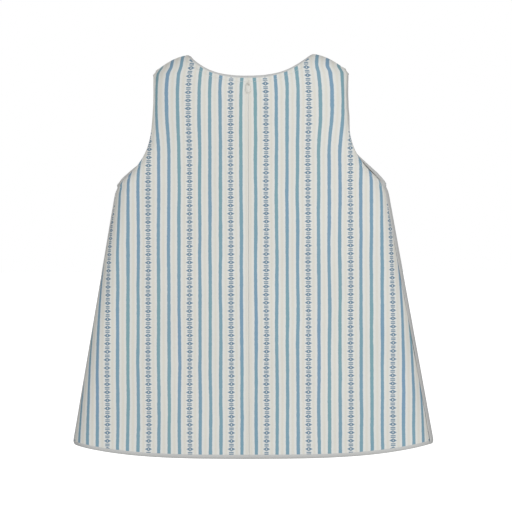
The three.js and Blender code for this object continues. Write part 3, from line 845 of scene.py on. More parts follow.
# ---- nodes for the materials ----
class Nodes:
    """Short ways to add and join shader nodes."""

    def __init__(self, name):
        self.material = bpy.data.materials.new(name)
        self.material.use_nodes = True
        self.tree = self.material.node_tree
        self.shader = self.tree.nodes["Principled BSDF"]

    def set(self, **values):
        for key, value in values.items():
            self.shader.inputs[key.replace("_", " ")].default_value = value

    def add(self, kind, inputs=(), **options):
        node = self.tree.nodes.new(kind)
        for key, value in options.items():
            setattr(node, key, value)
        for socket, value in inputs:
            self.put(node.inputs[socket], value)
        return node

    def put(self, socket, value):
        if isinstance(value, bpy.types.NodeSocket):
            self.tree.links.new(value, socket)
        else:
            socket.default_value = value

    def math(self, operation, *values, clamp=False):
        node = self.add("ShaderNodeMath", operation=operation, use_clamp=clamp)
        for socket, value in zip(node.inputs, values):
            self.put(socket, value)
        return node.outputs[0]

    def mix(self, factor, a, b):
        node = self.add("ShaderNodeMix", data_type="RGBA")
        self.put(node.inputs[0], factor)
        self.put(node.inputs[6], (*a, 1) if isinstance(a, tuple) else a)
        self.put(node.inputs[7], (*b, 1) if isinstance(b, tuple) else b)
        return node.outputs[2]

    def place(self, uv):
        node = self.add("ShaderNodeUVMap", uv_map=uv)
        split = self.add("ShaderNodeSeparateXYZ", [("Vector", node.outputs[0])])
        return split.outputs[0], split.outputs[1]

    def object_place(self):
        return self.add("ShaderNodeTexCoord").outputs["Object"]

    def vector(self, x, y, z=0.0):
        return self.add("ShaderNodeCombineXYZ", [("X", x), ("Y", y), ("Z", z)]).outputs[0]

    def noise(self, vector, scale, detail=2.0):
        inputs = [("Vector", vector), ("Scale", scale), ("Detail", detail)]
        return self.add("ShaderNodeTexNoise", inputs).outputs["Fac"]

    def within(self, value, limit, soft):
        """One where a value is under a limit, falling to nothing over a soft width."""
        past = self.math("DIVIDE", self.math("SUBTRACT", limit, value), soft)
        return self.math("ADD", past, 0.5, clamp=True)

    def bump(self, height, distance, strength=1.0):
        inputs = [("Height", height), ("Distance", distance), ("Strength", strength)]
        node = self.add("ShaderNodeBump", inputs)
        self.put(self.shader.inputs["Normal"], node.outputs[0])


def plain_weave(nodes, u, v, thread):
    """The height of a plain weave of that thread spacing."""
    rate = math.pi / thread
    across = nodes.math("SINE", nodes.math("MULTIPLY", u, rate))
    along = nodes.math("SINE", nodes.math("MULTIPLY", v, rate))
    return nodes.math("MULTIPLY_ADD", nodes.math("MULTIPLY", across, along), 0.5, 0.5)


def tinted(nodes, tint, u, v):
    """A cloth colour with faint slubs, patches and yarn-to-yarn differences."""
    slub = nodes.noise(nodes.vector(nodes.math("MULTIPLY", u, SLUB_STRETCH), v), SLUB_SCALE, 3)
    patch = nodes.noise(nodes.vector(u, v), PATCH_SCALE, 2)
    weft = nodes.noise(nodes.vector(u, nodes.math("MULTIPLY", v, WEFT_STRETCH)), WEFT_SCALE, 2)
    tones = (slub, patch, weft)
    total = nodes.math("ADD", nodes.math("ADD", slub, patch), weft)
    gain = nodes.math("MULTIPLY_ADD", total, TONE_SPREAD, 1 - TONE_SPREAD * len(tones) / 2)
    node = nodes.add("ShaderNodeVectorMath", operation="SCALE")
    nodes.put(node.inputs[0], tint)
    nodes.put(node.inputs["Scale"], gain)
    return node.outputs[0]


def lozenge_and_bars(nodes, x, v, cloth):
    """Mask of the small woven motifs: a lozenge, then two short bars, again and again."""
    half = cloth.motif_half
    pitch = cloth.motif_pitch
    y = nodes.math("MULTIPLY", nodes.math("FRACT", nodes.math("DIVIDE", v, pitch)), pitch)
    from_lozenge = nodes.math("ABSOLUTE", nodes.math("SUBTRACT", y, LOZENGE_MIDDLE * pitch))
    tall = nodes.math("DIVIDE", from_lozenge, LOZENGE_HALF_HEIGHT * pitch)
    wide = nodes.math("DIVIDE", x, LOZENGE_HALF_WIDTH * half)
    lozenge = nodes.within(nodes.math("ADD", wide, tall), 1.0, LOZENGE_SOFT)
    hole_wide = nodes.math("DIVIDE", x, HOLE_HALF_WIDTH * half)
    hole = nodes.within(nodes.math("ADD", hole_wide, tall), HOLE_SIZE, HOLE_SOFT)
    lozenge = nodes.math("SUBTRACT", lozenge, hole, clamp=True)
    bars = []
    for share in BAR_MIDDLES:
        near = nodes.math("ABSOLUTE", nodes.math("SUBTRACT", y, share * pitch))
        bars.append(nodes.within(near, BAR_HALF_HEIGHT, BAR_SOFT))
    between = nodes.within(x, BAR_HALF_WIDTH * half, BAR_END_SOFT)
    pair = nodes.math("MULTIPLY", nodes.math("MAXIMUM", *bars), between)
    return nodes.math("MAXIMUM", lozenge, pair)


def wavering(nodes, u, v, stretch, scale, size):
    """A smooth sideways shift, from minus half a size to half a size."""
    drawn = nodes.vector(nodes.math("MULTIPLY", u, stretch), v)
    return nodes.math("MULTIPLY_ADD", nodes.noise(drawn, scale, 3), size, -size / 2)


def striped_material(cloth):
    """Cream cotton with woven blue stripes; every fourth one is a column of small motifs. Within the plain
    margins it has no stripes and is painted the grey edge shade.
    """
    nodes = Nodes("striped cotton")
    u, v = nodes.place("cloth")
    margin, _ = nodes.place("margin")
    bend = wavering(nodes, u, v, BEND_STRETCH, BEND_SCALE, cloth.stripe_bend)
    wobble = wavering(nodes, u, v, WOBBLE_STRETCH, WOBBLE_SCALE, cloth.stripe_wobble)
    bent = nodes.math("ADD", nodes.math("ABSOLUTE", u), bend)
    place = nodes.math("DIVIDE", nodes.math("SUBTRACT", bent, cloth.first_stripe), cloth.pitch)
    number = nodes.math("ROUND", place)
    beside = nodes.math("ABSOLUTE", nodes.math("SUBTRACT", place, number))
    x = nodes.math("ADD", nodes.math("MULTIPLY", beside, cloth.pitch), wobble)
    turn = nodes.math("FLOORED_MODULO", number, MOTIF_EVERY)
    motif_here = nodes.math("COMPARE", turn, MOTIF_FIRST, 0.1)
    stripe_here = nodes.math("SUBTRACT", 1.0, motif_here)
    stripe = nodes.math("MULTIPLY", nodes.within(x, cloth.stripe_half, cloth.stripe_soft), stripe_here)
    motif = nodes.math("MULTIPLY", lozenge_and_bars(nodes, x, v, cloth), motif_here)
    # Places within the plain margins lose their stripes and take the edge colour, a painted shade of the
    # turned edges.
    inner = nodes.math("GREATER_THAN", margin, 1.0)
    mask = nodes.math("MULTIPLY", nodes.math("ADD", stripe, motif), inner)
    weave = plain_weave(nodes, u, v, STRIPED_THREAD)
    crossed = nodes.math("MULTIPLY_ADD", weave, WEFT_CROSSINGS, 1 - WEFT_CROSSINGS)
    shown = nodes.math("MULTIPLY", mask, crossed)
    along = nodes.math("MULTIPLY", v, DRIFT_STRETCH)
    drift = nodes.noise(nodes.vector(nodes.math("MULTIPLY", number, DRIFT_APART), along), DRIFT_SCALE, 2)
    drift = nodes.math("MULTIPLY_ADD", drift, DRIFT_GAIN, (1 - DRIFT_GAIN) / 2, clamp=True)
    yarn = nodes.mix(motif_here, nodes.mix(drift, tuple(cloth.blue), tuple(cloth.teal)), tuple(cloth.motif))
    midway = nodes.math("MULTIPLY_ADD", x, 1 / cloth.ground_band, -ECRU_START, clamp=True)
    ground = nodes.mix(midway, tuple(cloth.cream), tuple(cloth.ecru))
    # Painted shade: the plain margins turn to the grey edge colour.
    ground = nodes.mix(inner, tuple(cloth.edge), ground)
    tint = tinted(nodes, nodes.mix(shown, ground, yarn), u, v)
    nodes.put(nodes.shader.inputs["Base Color"], tint)
    nodes.bump(nodes.math("ADD", weave, nodes.math("MULTIPLY", mask, WEAVE_RAISED)), WEAVE_DEPTH, 0.8)
    nodes.set(Roughness=0.88, Sheen_Weight=0.12, Sheen_Roughness=0.5, Specular_IOR_Level=0.25)
    return nodes.material


def plain_material(name, tint, thread):
    """Plain woven cloth."""
    nodes = Nodes(name)
    u, v = nodes.place("cloth")
    nodes.put(nodes.shader.inputs["Base Color"], tinted(nodes, tuple(tint), u, v))
    nodes.bump(plain_weave(nodes, u, v, thread), PLAIN_WEAVE_DEPTH, 0.8)
    nodes.set(Roughness=0.9, Sheen_Weight=0.1, Specular_IOR_Level=0.2)
    return nodes.material


def solid_material(name, tint, roughness, metallic, grain, depth):
    """Thread, enamel or metal: one colour with a fine grain in its tone and surface."""
    nodes = Nodes(name)
    tone = nodes.noise(nodes.object_place(), grain, 3)
    dark = tuple(GRAIN_DARK * c for c in tint)
    light = tuple(min(1, GRAIN_LIGHT * c) for c in tint)
    nodes.put(nodes.shader.inputs["Base Color"], nodes.mix(tone, dark, light))
    nodes.bump(tone, depth, 0.6)
    nodes.set(Roughness=roughness, Metallic=metallic)
    return nodes.material


# ---- the materials, each made when first asked for ----
def settings():
    """The four groups of settings: shape, cloth, trim and stage."""
    scene = bpy.context.scene
    return scene.pinafore_shape, scene.pinafore_cloth, scene.pinafore_trim, scene.pinafore_stage


def cloth_material(name, tint, thread):
    return bpy.data.materials.get(name) or plain_material(name, tint, thread)


def hard_material(name, tint, roughness, metallic, grain, depth):
    made = bpy.data.materials.get(name)
    return made or solid_material(name, tuple(tint), roughness, metallic, grain, depth)


def striped():
    return bpy.data.materials.get("striped cotton") or striped_material(settings()[1])


def lining():
    return cloth_material("plain cotton", settings()[1].lining, LINING_THREAD)


def label_satin():
    return cloth_material("label satin", settings()[2].label, SATIN_THREAD)


def tape_weave():
    return cloth_material("zip tape", settings()[2].tape, TAPE_THREAD)


def nylon():
    tint = settings()[2].tape
    return hard_material("coil nylon", tint, roughness=0.38, metallic=0, grain=900, depth=0.01 * MM)


def enamel():
    tint = settings()[2].enamel
    return hard_material("cream enamel", tint, roughness=0.5, metallic=0, grain=700, depth=0.012 * MM)


def nickel():
    tint = settings()[2].nickel
    return hard_material("nickel", tint, roughness=0.3, metallic=1, grain=1500, depth=0.01 * MM)


def cream_thread():
    tint = settings()[1].cream
    return hard_material("cream thread", tint, roughness=0.7, metallic=0, grain=2500, depth=0.05 * MM)


# ---- the operators ----
class PINAFORE_OT_front(bpy.types.Operator):
    """Cut the front panel, in one piece from side seam to side seam"""

    bl_idname = "pinafore.front"
    bl_label = "Front panel"

    def execute(self, context):
        shape, cloth, _, _ = settings()
        garment = Garment(shape, cloth)
        make_panel(garment, 1, (-1, 1), "front_panel")
        return {"FINISHED"}


class PINAFORE_OT_back(bpy.types.Operator):
    """Cut the two back panels, which meet in the centre-back seam"""

    bl_idname = "pinafore.back"
    bl_label = "Back panels"

    def execute(self, context):
        shape, cloth, _, _ = settings()
        garment = Garment(shape, cloth)
        for word, side in SIDES:
            make_panel(garment, -1, (side,), word + "_back_panel")
        return {"FINISHED"}


class PINAFORE_OT_topstitch(bpy.types.Operator):
    """Stitch round the neck and the armholes, just inside the turned edge"""

    bl_idname = "pinafore.topstitch"
    bl_label = "Topstitching"

    def execute(self, context):
        shape, cloth, _, _ = settings()
        garment = Garment(shape, cloth)
        for face, word in ((-1, "back"), (1, "front")):
            bm = bmesh.new()
            panel = Panel(garment, face)
            for _, side in SIDES:
                stitch_run(bm, panel, side, beside_line(panel.neck, cloth.stitch_inset), cloth)
                stitch_run(bm, panel, side, beside_line(panel.armhole, -cloth.stitch_inset), cloth)
            finish_mesh(bm, word + "_topstitching", cream_thread())
        return {"FINISHED"}


def inner_sheet(name, panel, grid, place, depth, surface, flat, area):
    """A piece of cloth inside a panel. place(i, j) gives p and z for shares from 0 to 1."""
    columns, rows = grid

    def points(i, j):
        p, z = place(i / columns, j / rows)
        return panel.lie(p, z, depth), np.stack([p, z], axis=-1), np.ones_like(p)

    bm = cloth_grid(columns, rows, points)
    outward_faces(bm, panel.face)
    piece = finish_mesh(bm, name + "_cloth", surface)
    thicken(piece, panel.cloth.facing_thickness)
    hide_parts(name)


def neck_facing_place(garment, face, side, start, end):
    """Where the neck facing lies: its lower edge curves up to the shoulder seam."""
    shape = garment.shape
    drop = -shape.hem_z - shape.back_neck_drop

    def place(i, j):
        signed = blend(start, end, i)
        s = np.abs(signed)
        at_neck = 1 - smooth((s - garment.FACING_RISE) / garment.FACING_RISE_WIDTH)
        high = 1 - shape.facing_inset / drop * at_neck
        round_end = np.minimum(1, s / (garment.FACING_END + garment.FACING_TIP))
        deep = shape.facing_height * np.sqrt(1 - round_end**garment.FACING_POWER)
        t = blend(high - deep / drop, high, 1 - (1 - j) ** 2)
        p, z = garment.outline(face, s, t)
        return side * np.where(signed < 0, -1, 1) * p, z

    return place


def armhole_facing_place(garment, face, side):
    """Where an armhole facing lies: a band that narrows up to the shoulder."""
    shape = garment.shape
    corner = garment.CORNER_SHARE
    hang = garment.FACING_HANG

    def place(i, j):
        t = blend(corner - hang, 1, j)
        reach = garment.outline(face, np.ones_like(t), t)[0]
        up = np.clip((t - corner) / (1 - corner), 0, 1)
        low = np.clip((corner - t) / (garment.FACING_ROUND * hang), 0, 1)
        width = blend(shape.facing_low, shape.facing_high, up) * np.sqrt(1 - low**2)
        s = 1 - (shape.facing_inset + width * (1 - i)) / reach
        p, z = garment.outline(face, s, t)
        return side * p, z

    return place


class PINAFORE_OT_facings(bpy.types.Operator):
    """Line the neck and the armholes with plain facings"""

    bl_idname = "pinafore.facings"
    bl_label = "Facings"

    def execute(self, context):
        shape, cloth, _, _ = settings()
        garment = Garment(shape, cloth)
        front, back = Panel(garment, 1), Panel(garment, -1)
        start, end = garment.FACING_START, garment.FACING_END
        place = neck_facing_place(garment, 1, 1, -end, end)
        self.facing("front_neck_facing", front, (96, 16), place, "front_neck_facing")
        for word, side in SIDES:
            place = neck_facing_place(garment, -1, side, start, end)
            self.facing(word + "_back_neck_facing", back, (48, 14), place, "back_neck_facing")
            for panel, turn in ((back, "back"), (front, "front")):
                place = armhole_facing_place(garment, panel.face, side)
                name = word + "_" + turn + "_armhole_facing"
                self.facing(name, panel, (12, 56), place, "armhole_facing")
        return {"FINISHED"}

    def facing(self, name, panel, grid, place, kind):
        depth = panel.cloth.facing_depth
        inner_sheet(name, panel, grid, place, depth, lining(), *FLAT_SIZES[kind])


class PINAFORE_OT_labels(bpy.types.Operator):
    """Sew in the blank size label and care label"""

    bl_idname = "pinafore.labels"
    bl_label = "Labels"

    def execute(self, context):
        shape, cloth, trim, _ = settings()
        garment = Garment(shape, cloth)
        panel = Panel(garment, -1)

        def size_place(i, j):
            p = trim.size_label_x + trim.size_label_width * i
            return p, trim.size_label_z + trim.size_label_height * j

        def care_place(i, j):
            z = trim.care_label_z + trim.care_label_height * j
            edge = garment.reach(z, shape.seam_angle) - trim.care_label_inset
            return trim.care_label_width * i - edge, z

        size = (trim.size_label_width, trim.size_label_height)
        care = (trim.care_label_width, trim.care_label_height)
        for name, place, flat, depth in (
            ("size_label", size_place, size, trim.size_label_depth),
            ("care_label", care_place, care, trim.care_label_depth),
        ):
            inner_sheet(name, panel, (20, 24), place, depth, label_satin(), flat, flat[0] * flat[1])
        return {"FINISHED"}


def ranged_block(bm, ranges, side, base, bevel):
    """A block from its ranges across, inwards and up from base, in millimetres."""
    across, inward, up = ranges
    left, right = sorted(side * x * MM for x in across)
    low = (left, inward[0] * MM, base + up[0] * MM)
    block(bm, low, (right, inward[1] * MM, base + up[1] * MM), bevel)


class PINAFORE_OT_zip(bpy.types.Operator):
    """Set the concealed zip: two tapes, two coils and their stops"""

    bl_idname = "pinafore.zip"
    bl_label = "Zip"

    # Columns and rows of a tape's grid, the rate of its ripple, and the facets of a coil's wire
    # and of each turn. The wire's radius is a share of the coil's own radius.
    TAPE_GRID = (8, 70)
    RIPPLES = 210
    WIRE_FACETS = 5
    TURN_STEPS = 9
    WIRE_SHARE = 0.3

    # The stops' ranges across, inwards and up, in millimetres. The bottom stop is a plate with
    # teeth at TEETH, and a tooth has its range across from TOOTH_HALF.
    TOP_STOP = ((0.7, 2.95), (2.1, 3.7), (0.3, 0.8))
    TOP_STOP_PITCH = 0.6 * MM
    BOTTOM_PLATE = ((-3, 3), (3.4, 3.9), (-3.3, -0.3))
    TEETH = (-2.2, 0, 2.2)
    TOOTH_HALF = 0.45
    TOOTH = ((2.1, 3.5), (-3.1, -0.5))
    STOP_BEVEL = 0.15 * MM
    PLATE_BEVEL = 0.2 * MM

    def execute(self, context):
        shape, _, trim, _ = settings()
        place = zip_frame(shape)
        top = -trim.zip_top
        bottom = top - trim.zip_length
        for word, side in SIDES:
            self.tape(word, side, place, bottom - trim.tape_overhang, top + trim.tape_overhang, trim)
            self.coil(word, side, place, bottom, trim)
            bm = bmesh.new()
            for step in range(2):
                ranged_block(bm, self.TOP_STOP, side, top + step * self.TOP_STOP_PITCH, self.STOP_BEVEL)
            self.finish(bm, place, word + "_zip_top_stop", enamel(), "zip_metal")
        bm = bmesh.new()
        ranged_block(bm, self.BOTTOM_PLATE, 1, bottom, self.PLATE_BEVEL)
        for x in self.TEETH:
            across = (x - self.TOOTH_HALF, x + self.TOOTH_HALF)
            ranged_block(bm, (across, *self.TOOTH), 1, bottom, self.STOP_BEVEL)
        self.finish(bm, place, "zip_bottom_stop", enamel(), "zip_metal")
        return {"FINISHED"}

    def finish(self, bm, place, name, surface, slot):
        bmesh.ops.transform(bm, matrix=place, verts=bm.verts)
        piece = finish_mesh(bm, name + "_piece", surface)
        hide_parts(name)
        return piece

    def tape(self, word, side, place, low, high, trim):
        columns, rows = self.TAPE_GRID

        def points(i, j):
            share = i / columns
            x = side * (trim.tape_inner + trim.tape_width * share)
            z = blend(low, high, j / rows)
            y = trim.tape_lie + trim.tape_ripple * np.sin(z * self.RIPPLES) * share
            return np.stack([x, y, z], axis=-1), np.stack([x, z], axis=-1), np.ones_like(x)

        bm = cloth_grid(columns, rows, points)
        outward_faces(bm, -1)
        piece = self.finish(bm, place, word + "_zip_tape", tape_weave(), "zip_tape")
        thicken(piece, trim.tape_thickness)

    def coil(self, word, side, place, bottom, trim):
        turns = round(trim.zip_length / trim.coil_pitch) - 1
        steps = self.TURN_STEPS
        facets = self.WIRE_FACETS
        bm = bmesh.new()
        ring = Matrix.Translation((1, 0, 0)) @ Matrix.Rotation(math.pi / 2, 4, "X")
        made = bmesh.ops.create_circle(bm, segments=facets, radius=self.WIRE_SHARE, matrix=ring)["verts"]
        edges = list({edge for vert in made for edge in vert.link_edges})
        bmesh.ops.spin(
            bm, geom=made + edges, cent=(0, 0, 0), axis=(0, 0, 1), angle=2 * math.pi * turns,
            dvec=(0, 0, trim.coil_pitch / steps / MM), steps=turns * steps, use_merge=False,
        )
        bmesh.ops.holes_fill(bm, edges=[edge for edge in bm.edges if edge.is_boundary], sides=facets)
        scale = Matrix.Diagonal((side * trim.coil_half_width, trim.coil_half_depth, MM, 1))
        shift = Matrix.Translation((side * trim.coil_middle, trim.coil_lie, bottom + trim.coil_start))
        bmesh.ops.transform(bm, matrix=shift @ scale, verts=bm.verts)
        bmesh.ops.recalc_face_normals(bm, faces=bm.faces)
        self.finish(bm, place, word + "_zip_coil", nylon(), "zip_coil")


class PINAFORE_OT_slider(bpy.types.Operator):
    """Set the zip's slider inside and its pull outside"""

    bl_idname = "pinafore.slider"
    bl_label = "Slider and pull"

    # The slider's body is an outline in millimetres, across and up from the coils' top. Its walls
    # and its web are ranges across, inwards and up, in millimetres.
    BODY = ((-4.4, -1.2), (-3.3, 0), (3.3, 0), (4.4, -1.2), (4.4, -4), (3.3, -9), (-3.3, -9), (-4.4, -4))
    BODY_OUTSIDE = 4.0 * MM
    BODY_INSIDE = 4.8 * MM
    BODY_BEVEL = 0.22 * MM
    WALL = ((3.4, 4.3), (2.3, 4.3), (-6, -1))
    WALL_BEVEL = 0.2 * MM
    WEB = ((-0.24, 0.24), (-0.7, 4.3), (-1.2, 1.2))
    WEB_BEVEL = 0.1 * MM
    EYE_INNER = 0.62 * MM
    EYE_OUTER = 1.0 * MM
    EYE_STEPS = 24

    # The pull is a round bar with two arms, and a flat tab with a raised middle.
    BAR_HALF = 2.1 * MM
    BAR_RADIUS = 0.42 * MM
    ARM_OUT = 1.9 * MM
    ARM_LENGTH = 3 * MM
    TAB_TOP = 2.5 * MM
    TAB_BOTTOM = 10.9 * MM
    TAB_TOP_HALF = 2.2 * MM
    TAB_WIDEST = 2.85 * MM
    TAB_HALF = 0.45 * MM
    TAB_BEVEL = 0.2 * MM
    RAISED_SHARES = (0.62, 0.66)
    RAISED_HALF = 0.62 * MM
    RAISED_BEVEL = 0.12 * MM

    def execute(self, context):
        shape, _, trim, _ = settings()
        place = zip_frame(shape)
        top = -trim.zip_top
        hinge = Vector((0, -trim.hinge_out, top - trim.hinge_drop))
        self.slider(place, top, hinge)
        self.pull(place, hinge)
        return {"FINISHED"}

    def slider(self, place, top, hinge):
        bm = bmesh.new()
        outline = [(x * MM, top + z * MM) for x, z in self.BODY]
        plate(bm, outline, self.BODY_OUTSIDE, self.BODY_INSIDE, self.BODY_BEVEL)
        for side in (-1, 1):
            ranged_block(bm, self.WALL, side, top, self.WALL_BEVEL)
        ranged_block(bm, self.WEB, 1, hinge.z, self.WEB_BEVEL)
        self.eye(bm, hinge, self.WEB[0][1] * MM)
        bmesh.ops.transform(bm, matrix=place, verts=bm.verts)
        piece = finish_mesh(bm, "zip_slider_piece", enamel(), "slider")
        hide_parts("zip_slider")

    def eye(self, bm, hinge, web):
        """The loop that holds the pull's bar: a ring spun about the bar."""
        inner, outer = self.EYE_INNER, self.EYE_OUTER
        section = ((-web, inner), (web, inner), (web, outer), (-web, outer))
        verts = [bm.verts.new((x, hinge.y, hinge.z + radius)) for x, radius in section]
        face = bm.faces.new(verts)
        bmesh.ops.spin(
            bm, geom=[face], cent=hinge, axis=(1, 0, 0), angle=2 * math.pi,
            steps=self.EYE_STEPS, use_merge=True,
        )
        bmesh.ops.recalc_face_normals(bm, faces=bm.faces)

    def pull(self, place, hinge):
        bm = bmesh.new()
        bar = Vector((self.BAR_HALF, 0, 0))
        self.rod(bm, hinge - bar, hinge + bar)
        for side in (-1, 1):
            start = hinge + Vector((side * self.ARM_OUT, 0, 0))
            self.rod(bm, start, start - Vector((0, 0, self.ARM_LENGTH)))
        top, bottom = hinge.z - self.TAB_TOP, hinge.z - self.TAB_BOTTOM
        outline = teardrop(top, bottom, self.TAB_TOP_HALF, self.TAB_WIDEST)
        plate(bm, outline, hinge.y - self.TAB_HALF, hinge.y + self.TAB_HALF, self.TAB_BEVEL)
        middle = sum(z for _, z in outline) / len(outline)
        wide, high = self.RAISED_SHARES
        small = [(wide * x, middle + high * (z - middle)) for x, z in outline]
        plate(bm, small, hinge.y - self.RAISED_HALF, hinge.y + self.RAISED_HALF, self.RAISED_BEVEL)
        bmesh.ops.transform(bm, matrix=place, verts=bm.verts)
        piece = finish_mesh(bm, "zip_pull_piece", enamel(), "pull")
        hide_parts("zip_pull")

    def rod(self, bm, start, end):
        capsule(bm, start, end, self.BAR_RADIUS, rings=7, sides=12)


def teardrop(top, bottom, top_half, widest):
    """The outline of a tab that swells towards a round lower end, as (x, z) points.

    It swells down to 1 / swell of its length, and rounds off from round_start on.
    """
    swell, round_start, power = 1.4, 0.62, 2.2
    down = np.linspace(0, 1, 15)
    rounding = np.clip((down - round_start) / (1 - round_start), 0, 1)
    half = blend(top_half, widest, smooth(down * swell)) * np.sqrt(1 - rounding**power)
    right = [(x, top + (bottom - top) * d) for x, d in zip(half[:-1], down[:-1])]
    left = [(-x, z) for x, z in reversed(right)]
    return [*right, (0.0, bottom), *left]


class PINAFORE_OT_hook(bpy.types.Operator):
    """Bend the wire hook and eye above the zip, and tack them down"""

    bl_idname = "pinafore.hook"
    bl_label = "Hook and eye"

    # Millimetres across, inwards and up from the hook's line. EYE is the upper half of the eye.
    # The tacks are places across and up, TACK_DEPTH inwards.
    HOOK = (
        (-5.2, 2.5, -1.2), (-7.4, 2.5, -1.7), (-8.2, 2.5, -0.4), (-6.4, 2.5, 0), (-2, 2.5, 0),
        (1.3, 2.5, 0), (2.1, 3.4, 0), (1.3, 4.3, 0), (-1.4, 4.3, 0),
    )
    EYE = ((8, 2.6, 1.4), (5, 2.6, 1.5), (2.2, 3.1, 1.6), (1.0, 3.4, 0.9))
    HOOK_TACKS = ((-7.6, -1.3), (-6.0, 0))
    EYE_TACKS = ((6.6, -1.45), (6.6, 1.45))
    TACK_DEPTH = 2.5
    TACK_PITCH = 0.35
    TACK_THREAD = 0.14 * MM
    TACK_CLEARANCE = 0.15 * MM
    THREAD_FACETS = 5
    LOOP_STEPS = 10

    def execute(self, context):
        shape, _, trim, _ = settings()
        line = -trim.hook_drop / MM
        hook = [(x, y, line + up) for x, y, up in self.HOOK]
        eye = [(x, y, line - up) for x, y, up in self.EYE]
        eye += [(x, y, line + up) for x, y, up in reversed(self.EYE)]
        for name, path, tacks in (("neck_hook", hook, self.HOOK_TACKS), ("neck_eye", eye, self.EYE_TACKS)):
            bm = bmesh.new()
            tube(bm, [tuple(MM * c for c in point) for point in path], trim.hook_wire)
            bmesh.ops.transform(bm, matrix=zip_frame(shape), verts=bm.verts)
            piece = finish_mesh(bm, name + "_wire", nickel())
            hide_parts(name)
            self.tack(name, [(x, line + up) for x, up in tacks], zip_frame(shape), trim.hook_wire)
        return {"FINISHED"}

    def tack(self, name, places, matrix, wire):
        """A few turns of thread round the wire at each place."""
        bm = bmesh.new()
        for x, z in places:
            for step in (-1, 0, 1):
                middle = MM * Vector((x + self.TACK_PITCH * step, self.TACK_DEPTH, z))
                ring = Matrix.Translation(middle) @ Matrix.Rotation(math.pi / 2, 4, "Y")
                self.loop(bm, ring, wire + self.TACK_CLEARANCE)
        bmesh.ops.transform(bm, matrix=matrix, verts=bm.verts)
        finish_mesh(bm, name + "_tacks", cream_thread())

    def loop(self, bm, matrix, radius):
        """One closed turn of thread."""
        facets, thread = self.THREAD_FACETS, self.TACK_THREAD
        ring = Matrix.Translation((radius, 0, 0)) @ Matrix.Rotation(math.pi / 2, 4, "X")
        made = bmesh.ops.create_circle(bm, segments=facets, radius=thread, matrix=ring)["verts"]
        edges = list({edge for vert in made for edge in vert.link_edges})
        before = set(bm.verts) - set(made)
        bmesh.ops.spin(
            bm, geom=made + edges, cent=(0, 0, 0), axis=(0, 0, 1), angle=2 * math.pi,
            steps=self.LOOP_STEPS, use_merge=True,
        )
        turned = [vert for vert in bm.verts if vert not in before]
        bmesh.ops.transform(bm, matrix=matrix, verts=turned)


class PINAFORE_OT_stage(bpy.types.Operator):
    """Set the camera, the soft lights and the pale floor"""

    bl_idname = "pinafore.stage"
    bl_label = "Stage"

    def execute(self, context):
        _, _, _, stage = settings()
        target = Vector((stage.aim_x, 0, stage.aim_z))
        turn, rise = stage.turn, stage.rise
        way = Vector((math.sin(turn) * math.cos(rise), -math.cos(turn) * math.cos(rise), math.sin(rise)))
        data = bpy.data.cameras.new("camera")
        data.lens = stage.lens
        camera = bpy.data.objects.new("camera", data)
        camera.location = target + way * stage.distance
        facing = (-way).to_track_quat("-Z", "Y").to_matrix()
        camera.rotation_euler = (facing @ Matrix.Rotation(-stage.roll, 3, "Z")).to_euler()
        context.scene.collection.objects.link(camera)
        context.scene.camera = camera
        spot = Vector((stage.light_side, -stage.light_distance, 0))
        add_light("key", spot, stage.light_size, stage.key_power, target)
        add_light("front", -spot, stage.light_size, stage.fill_power, target)
        context.scene.world = make_world(stage.ambient)
        make_floor(stage.floor_drop)
        context.scene.view_settings.view_transform = "Standard"
        return {"FINISHED"}


def make_world(ambient):
    """A white studio that lights the dress less than it shows."""
    world = bpy.data.worlds.new("studio")
    world.use_nodes = True
    tree = world.node_tree
    seen = tree.nodes.new("ShaderNodeLightPath").outputs["Is Camera Ray"]
    strength = tree.nodes.new("ShaderNodeMapRange")
    tree.links.new(seen, strength.inputs["Value"])
    strength.inputs["To Min"].default_value = ambient
    strength.inputs["To Max"].default_value = 1.0
    tree.nodes["Background"].inputs["Color"].default_value = (1, 1, 1, 1)
    tree.links.new(strength.outputs["Result"], tree.nodes["Background"].inputs["Strength"])
    return world


def add_light(name, location, size, power, target):
    """A square soft light that faces the dress."""
    data = bpy.data.lights.new(name, "AREA")
    data.size = size
    data.energy = power
    light = bpy.data.objects.new(name, data)
    light.location = location
    light.visible_camera = False
    light.rotation_euler = (target - location).to_track_quat("-Z", "Y").to_euler()
    bpy.context.scene.collection.objects.link(light)


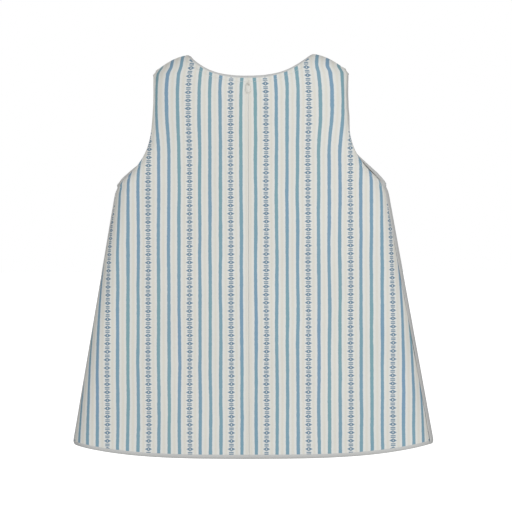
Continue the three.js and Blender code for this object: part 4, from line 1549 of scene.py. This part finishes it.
def make_floor(drop):
    """A wide pale floor that glows by itself and throws no light back."""
    nodes = Nodes("studio paper")
    nodes.set(Base_Color=(PAPER_SHADE, PAPER_SHADE, PAPER_SHADE, 1), Roughness=0.9)
    nodes.shader.inputs["Emission Color"].default_value = (1, 1, 1, 1)
    nodes.shader.inputs["Emission Strength"].default_value = PAPER_SHADE
    bm = bmesh.new()
    bmesh.ops.create_grid(bm, x_segments=1, y_segments=1, size=FLOOR_HALF)
    bmesh.ops.translate(bm, vec=(0, 0, -drop), verts=bm.verts)
    mesh = bpy.data.meshes.new("floor")
    bm.to_mesh(mesh)
    bm.free()
    mesh.materials.append(nodes.material)
    floor = bpy.data.objects.new("floor", mesh)
    bpy.context.scene.collection.objects.link(floor)
    floor.visible_diffuse = False
    floor.visible_glossy = False


class PINAFORE_PT_sidebar(bpy.types.Panel):
    """Lists the steps that build the dress"""

    bl_idname = "PINAFORE_PT_sidebar"
    bl_label = "Pinafore dress"
    bl_space_type = "VIEW_3D"
    bl_region_type = "UI"
    bl_category = "Pinafore"

    def draw(self, context):
        for operator in OPERATORS:
            self.layout.operator(operator.bl_idname)
        for group in SETTINGS:
            owner = getattr(context.scene, group)
            for key in owner.bl_rna.properties.keys():
                if key not in ("rna_type", "name"):
                    self.layout.prop(owner, key)


OPERATORS = (
    PINAFORE_OT_stage,
    PINAFORE_OT_front,
    PINAFORE_OT_back,
    PINAFORE_OT_facings,
    PINAFORE_OT_labels,
    PINAFORE_OT_topstitch,
    PINAFORE_OT_zip,
    PINAFORE_OT_slider,
    PINAFORE_OT_hook,
)
SETTINGS = {
    "pinafore_shape": PinaforeShape,
    "pinafore_cloth": PinaforeCloth,
    "pinafore_trim": PinaforeTrim,
    "pinafore_stage": PinaforeStage,
}
CLASSES = (*SETTINGS.values(), *OPERATORS, PINAFORE_PT_sidebar)


def register():
    for cls in CLASSES:
        bpy.utils.register_class(cls)
    for name, group in SETTINGS.items():
        setattr(bpy.types.Scene, name, bpy.props.PointerProperty(type=group))


def unregister():
    for name in SETTINGS:
        delattr(bpy.types.Scene, name)
    for cls in reversed(CLASSES):
        bpy.utils.unregister_class(cls)


def main():
    register()
    for operator in OPERATORS:
        group, step = operator.bl_idname.split(".")
        if getattr(getattr(bpy.ops, group), step)() != {"FINISHED"}:
            raise RuntimeError(operator.bl_idname + " did not finish")


def plain(box):
    """A box as lists of numbers."""
    return [[float(value) for value in corner] for corner in box]


if __name__ == "__main__":
    main()
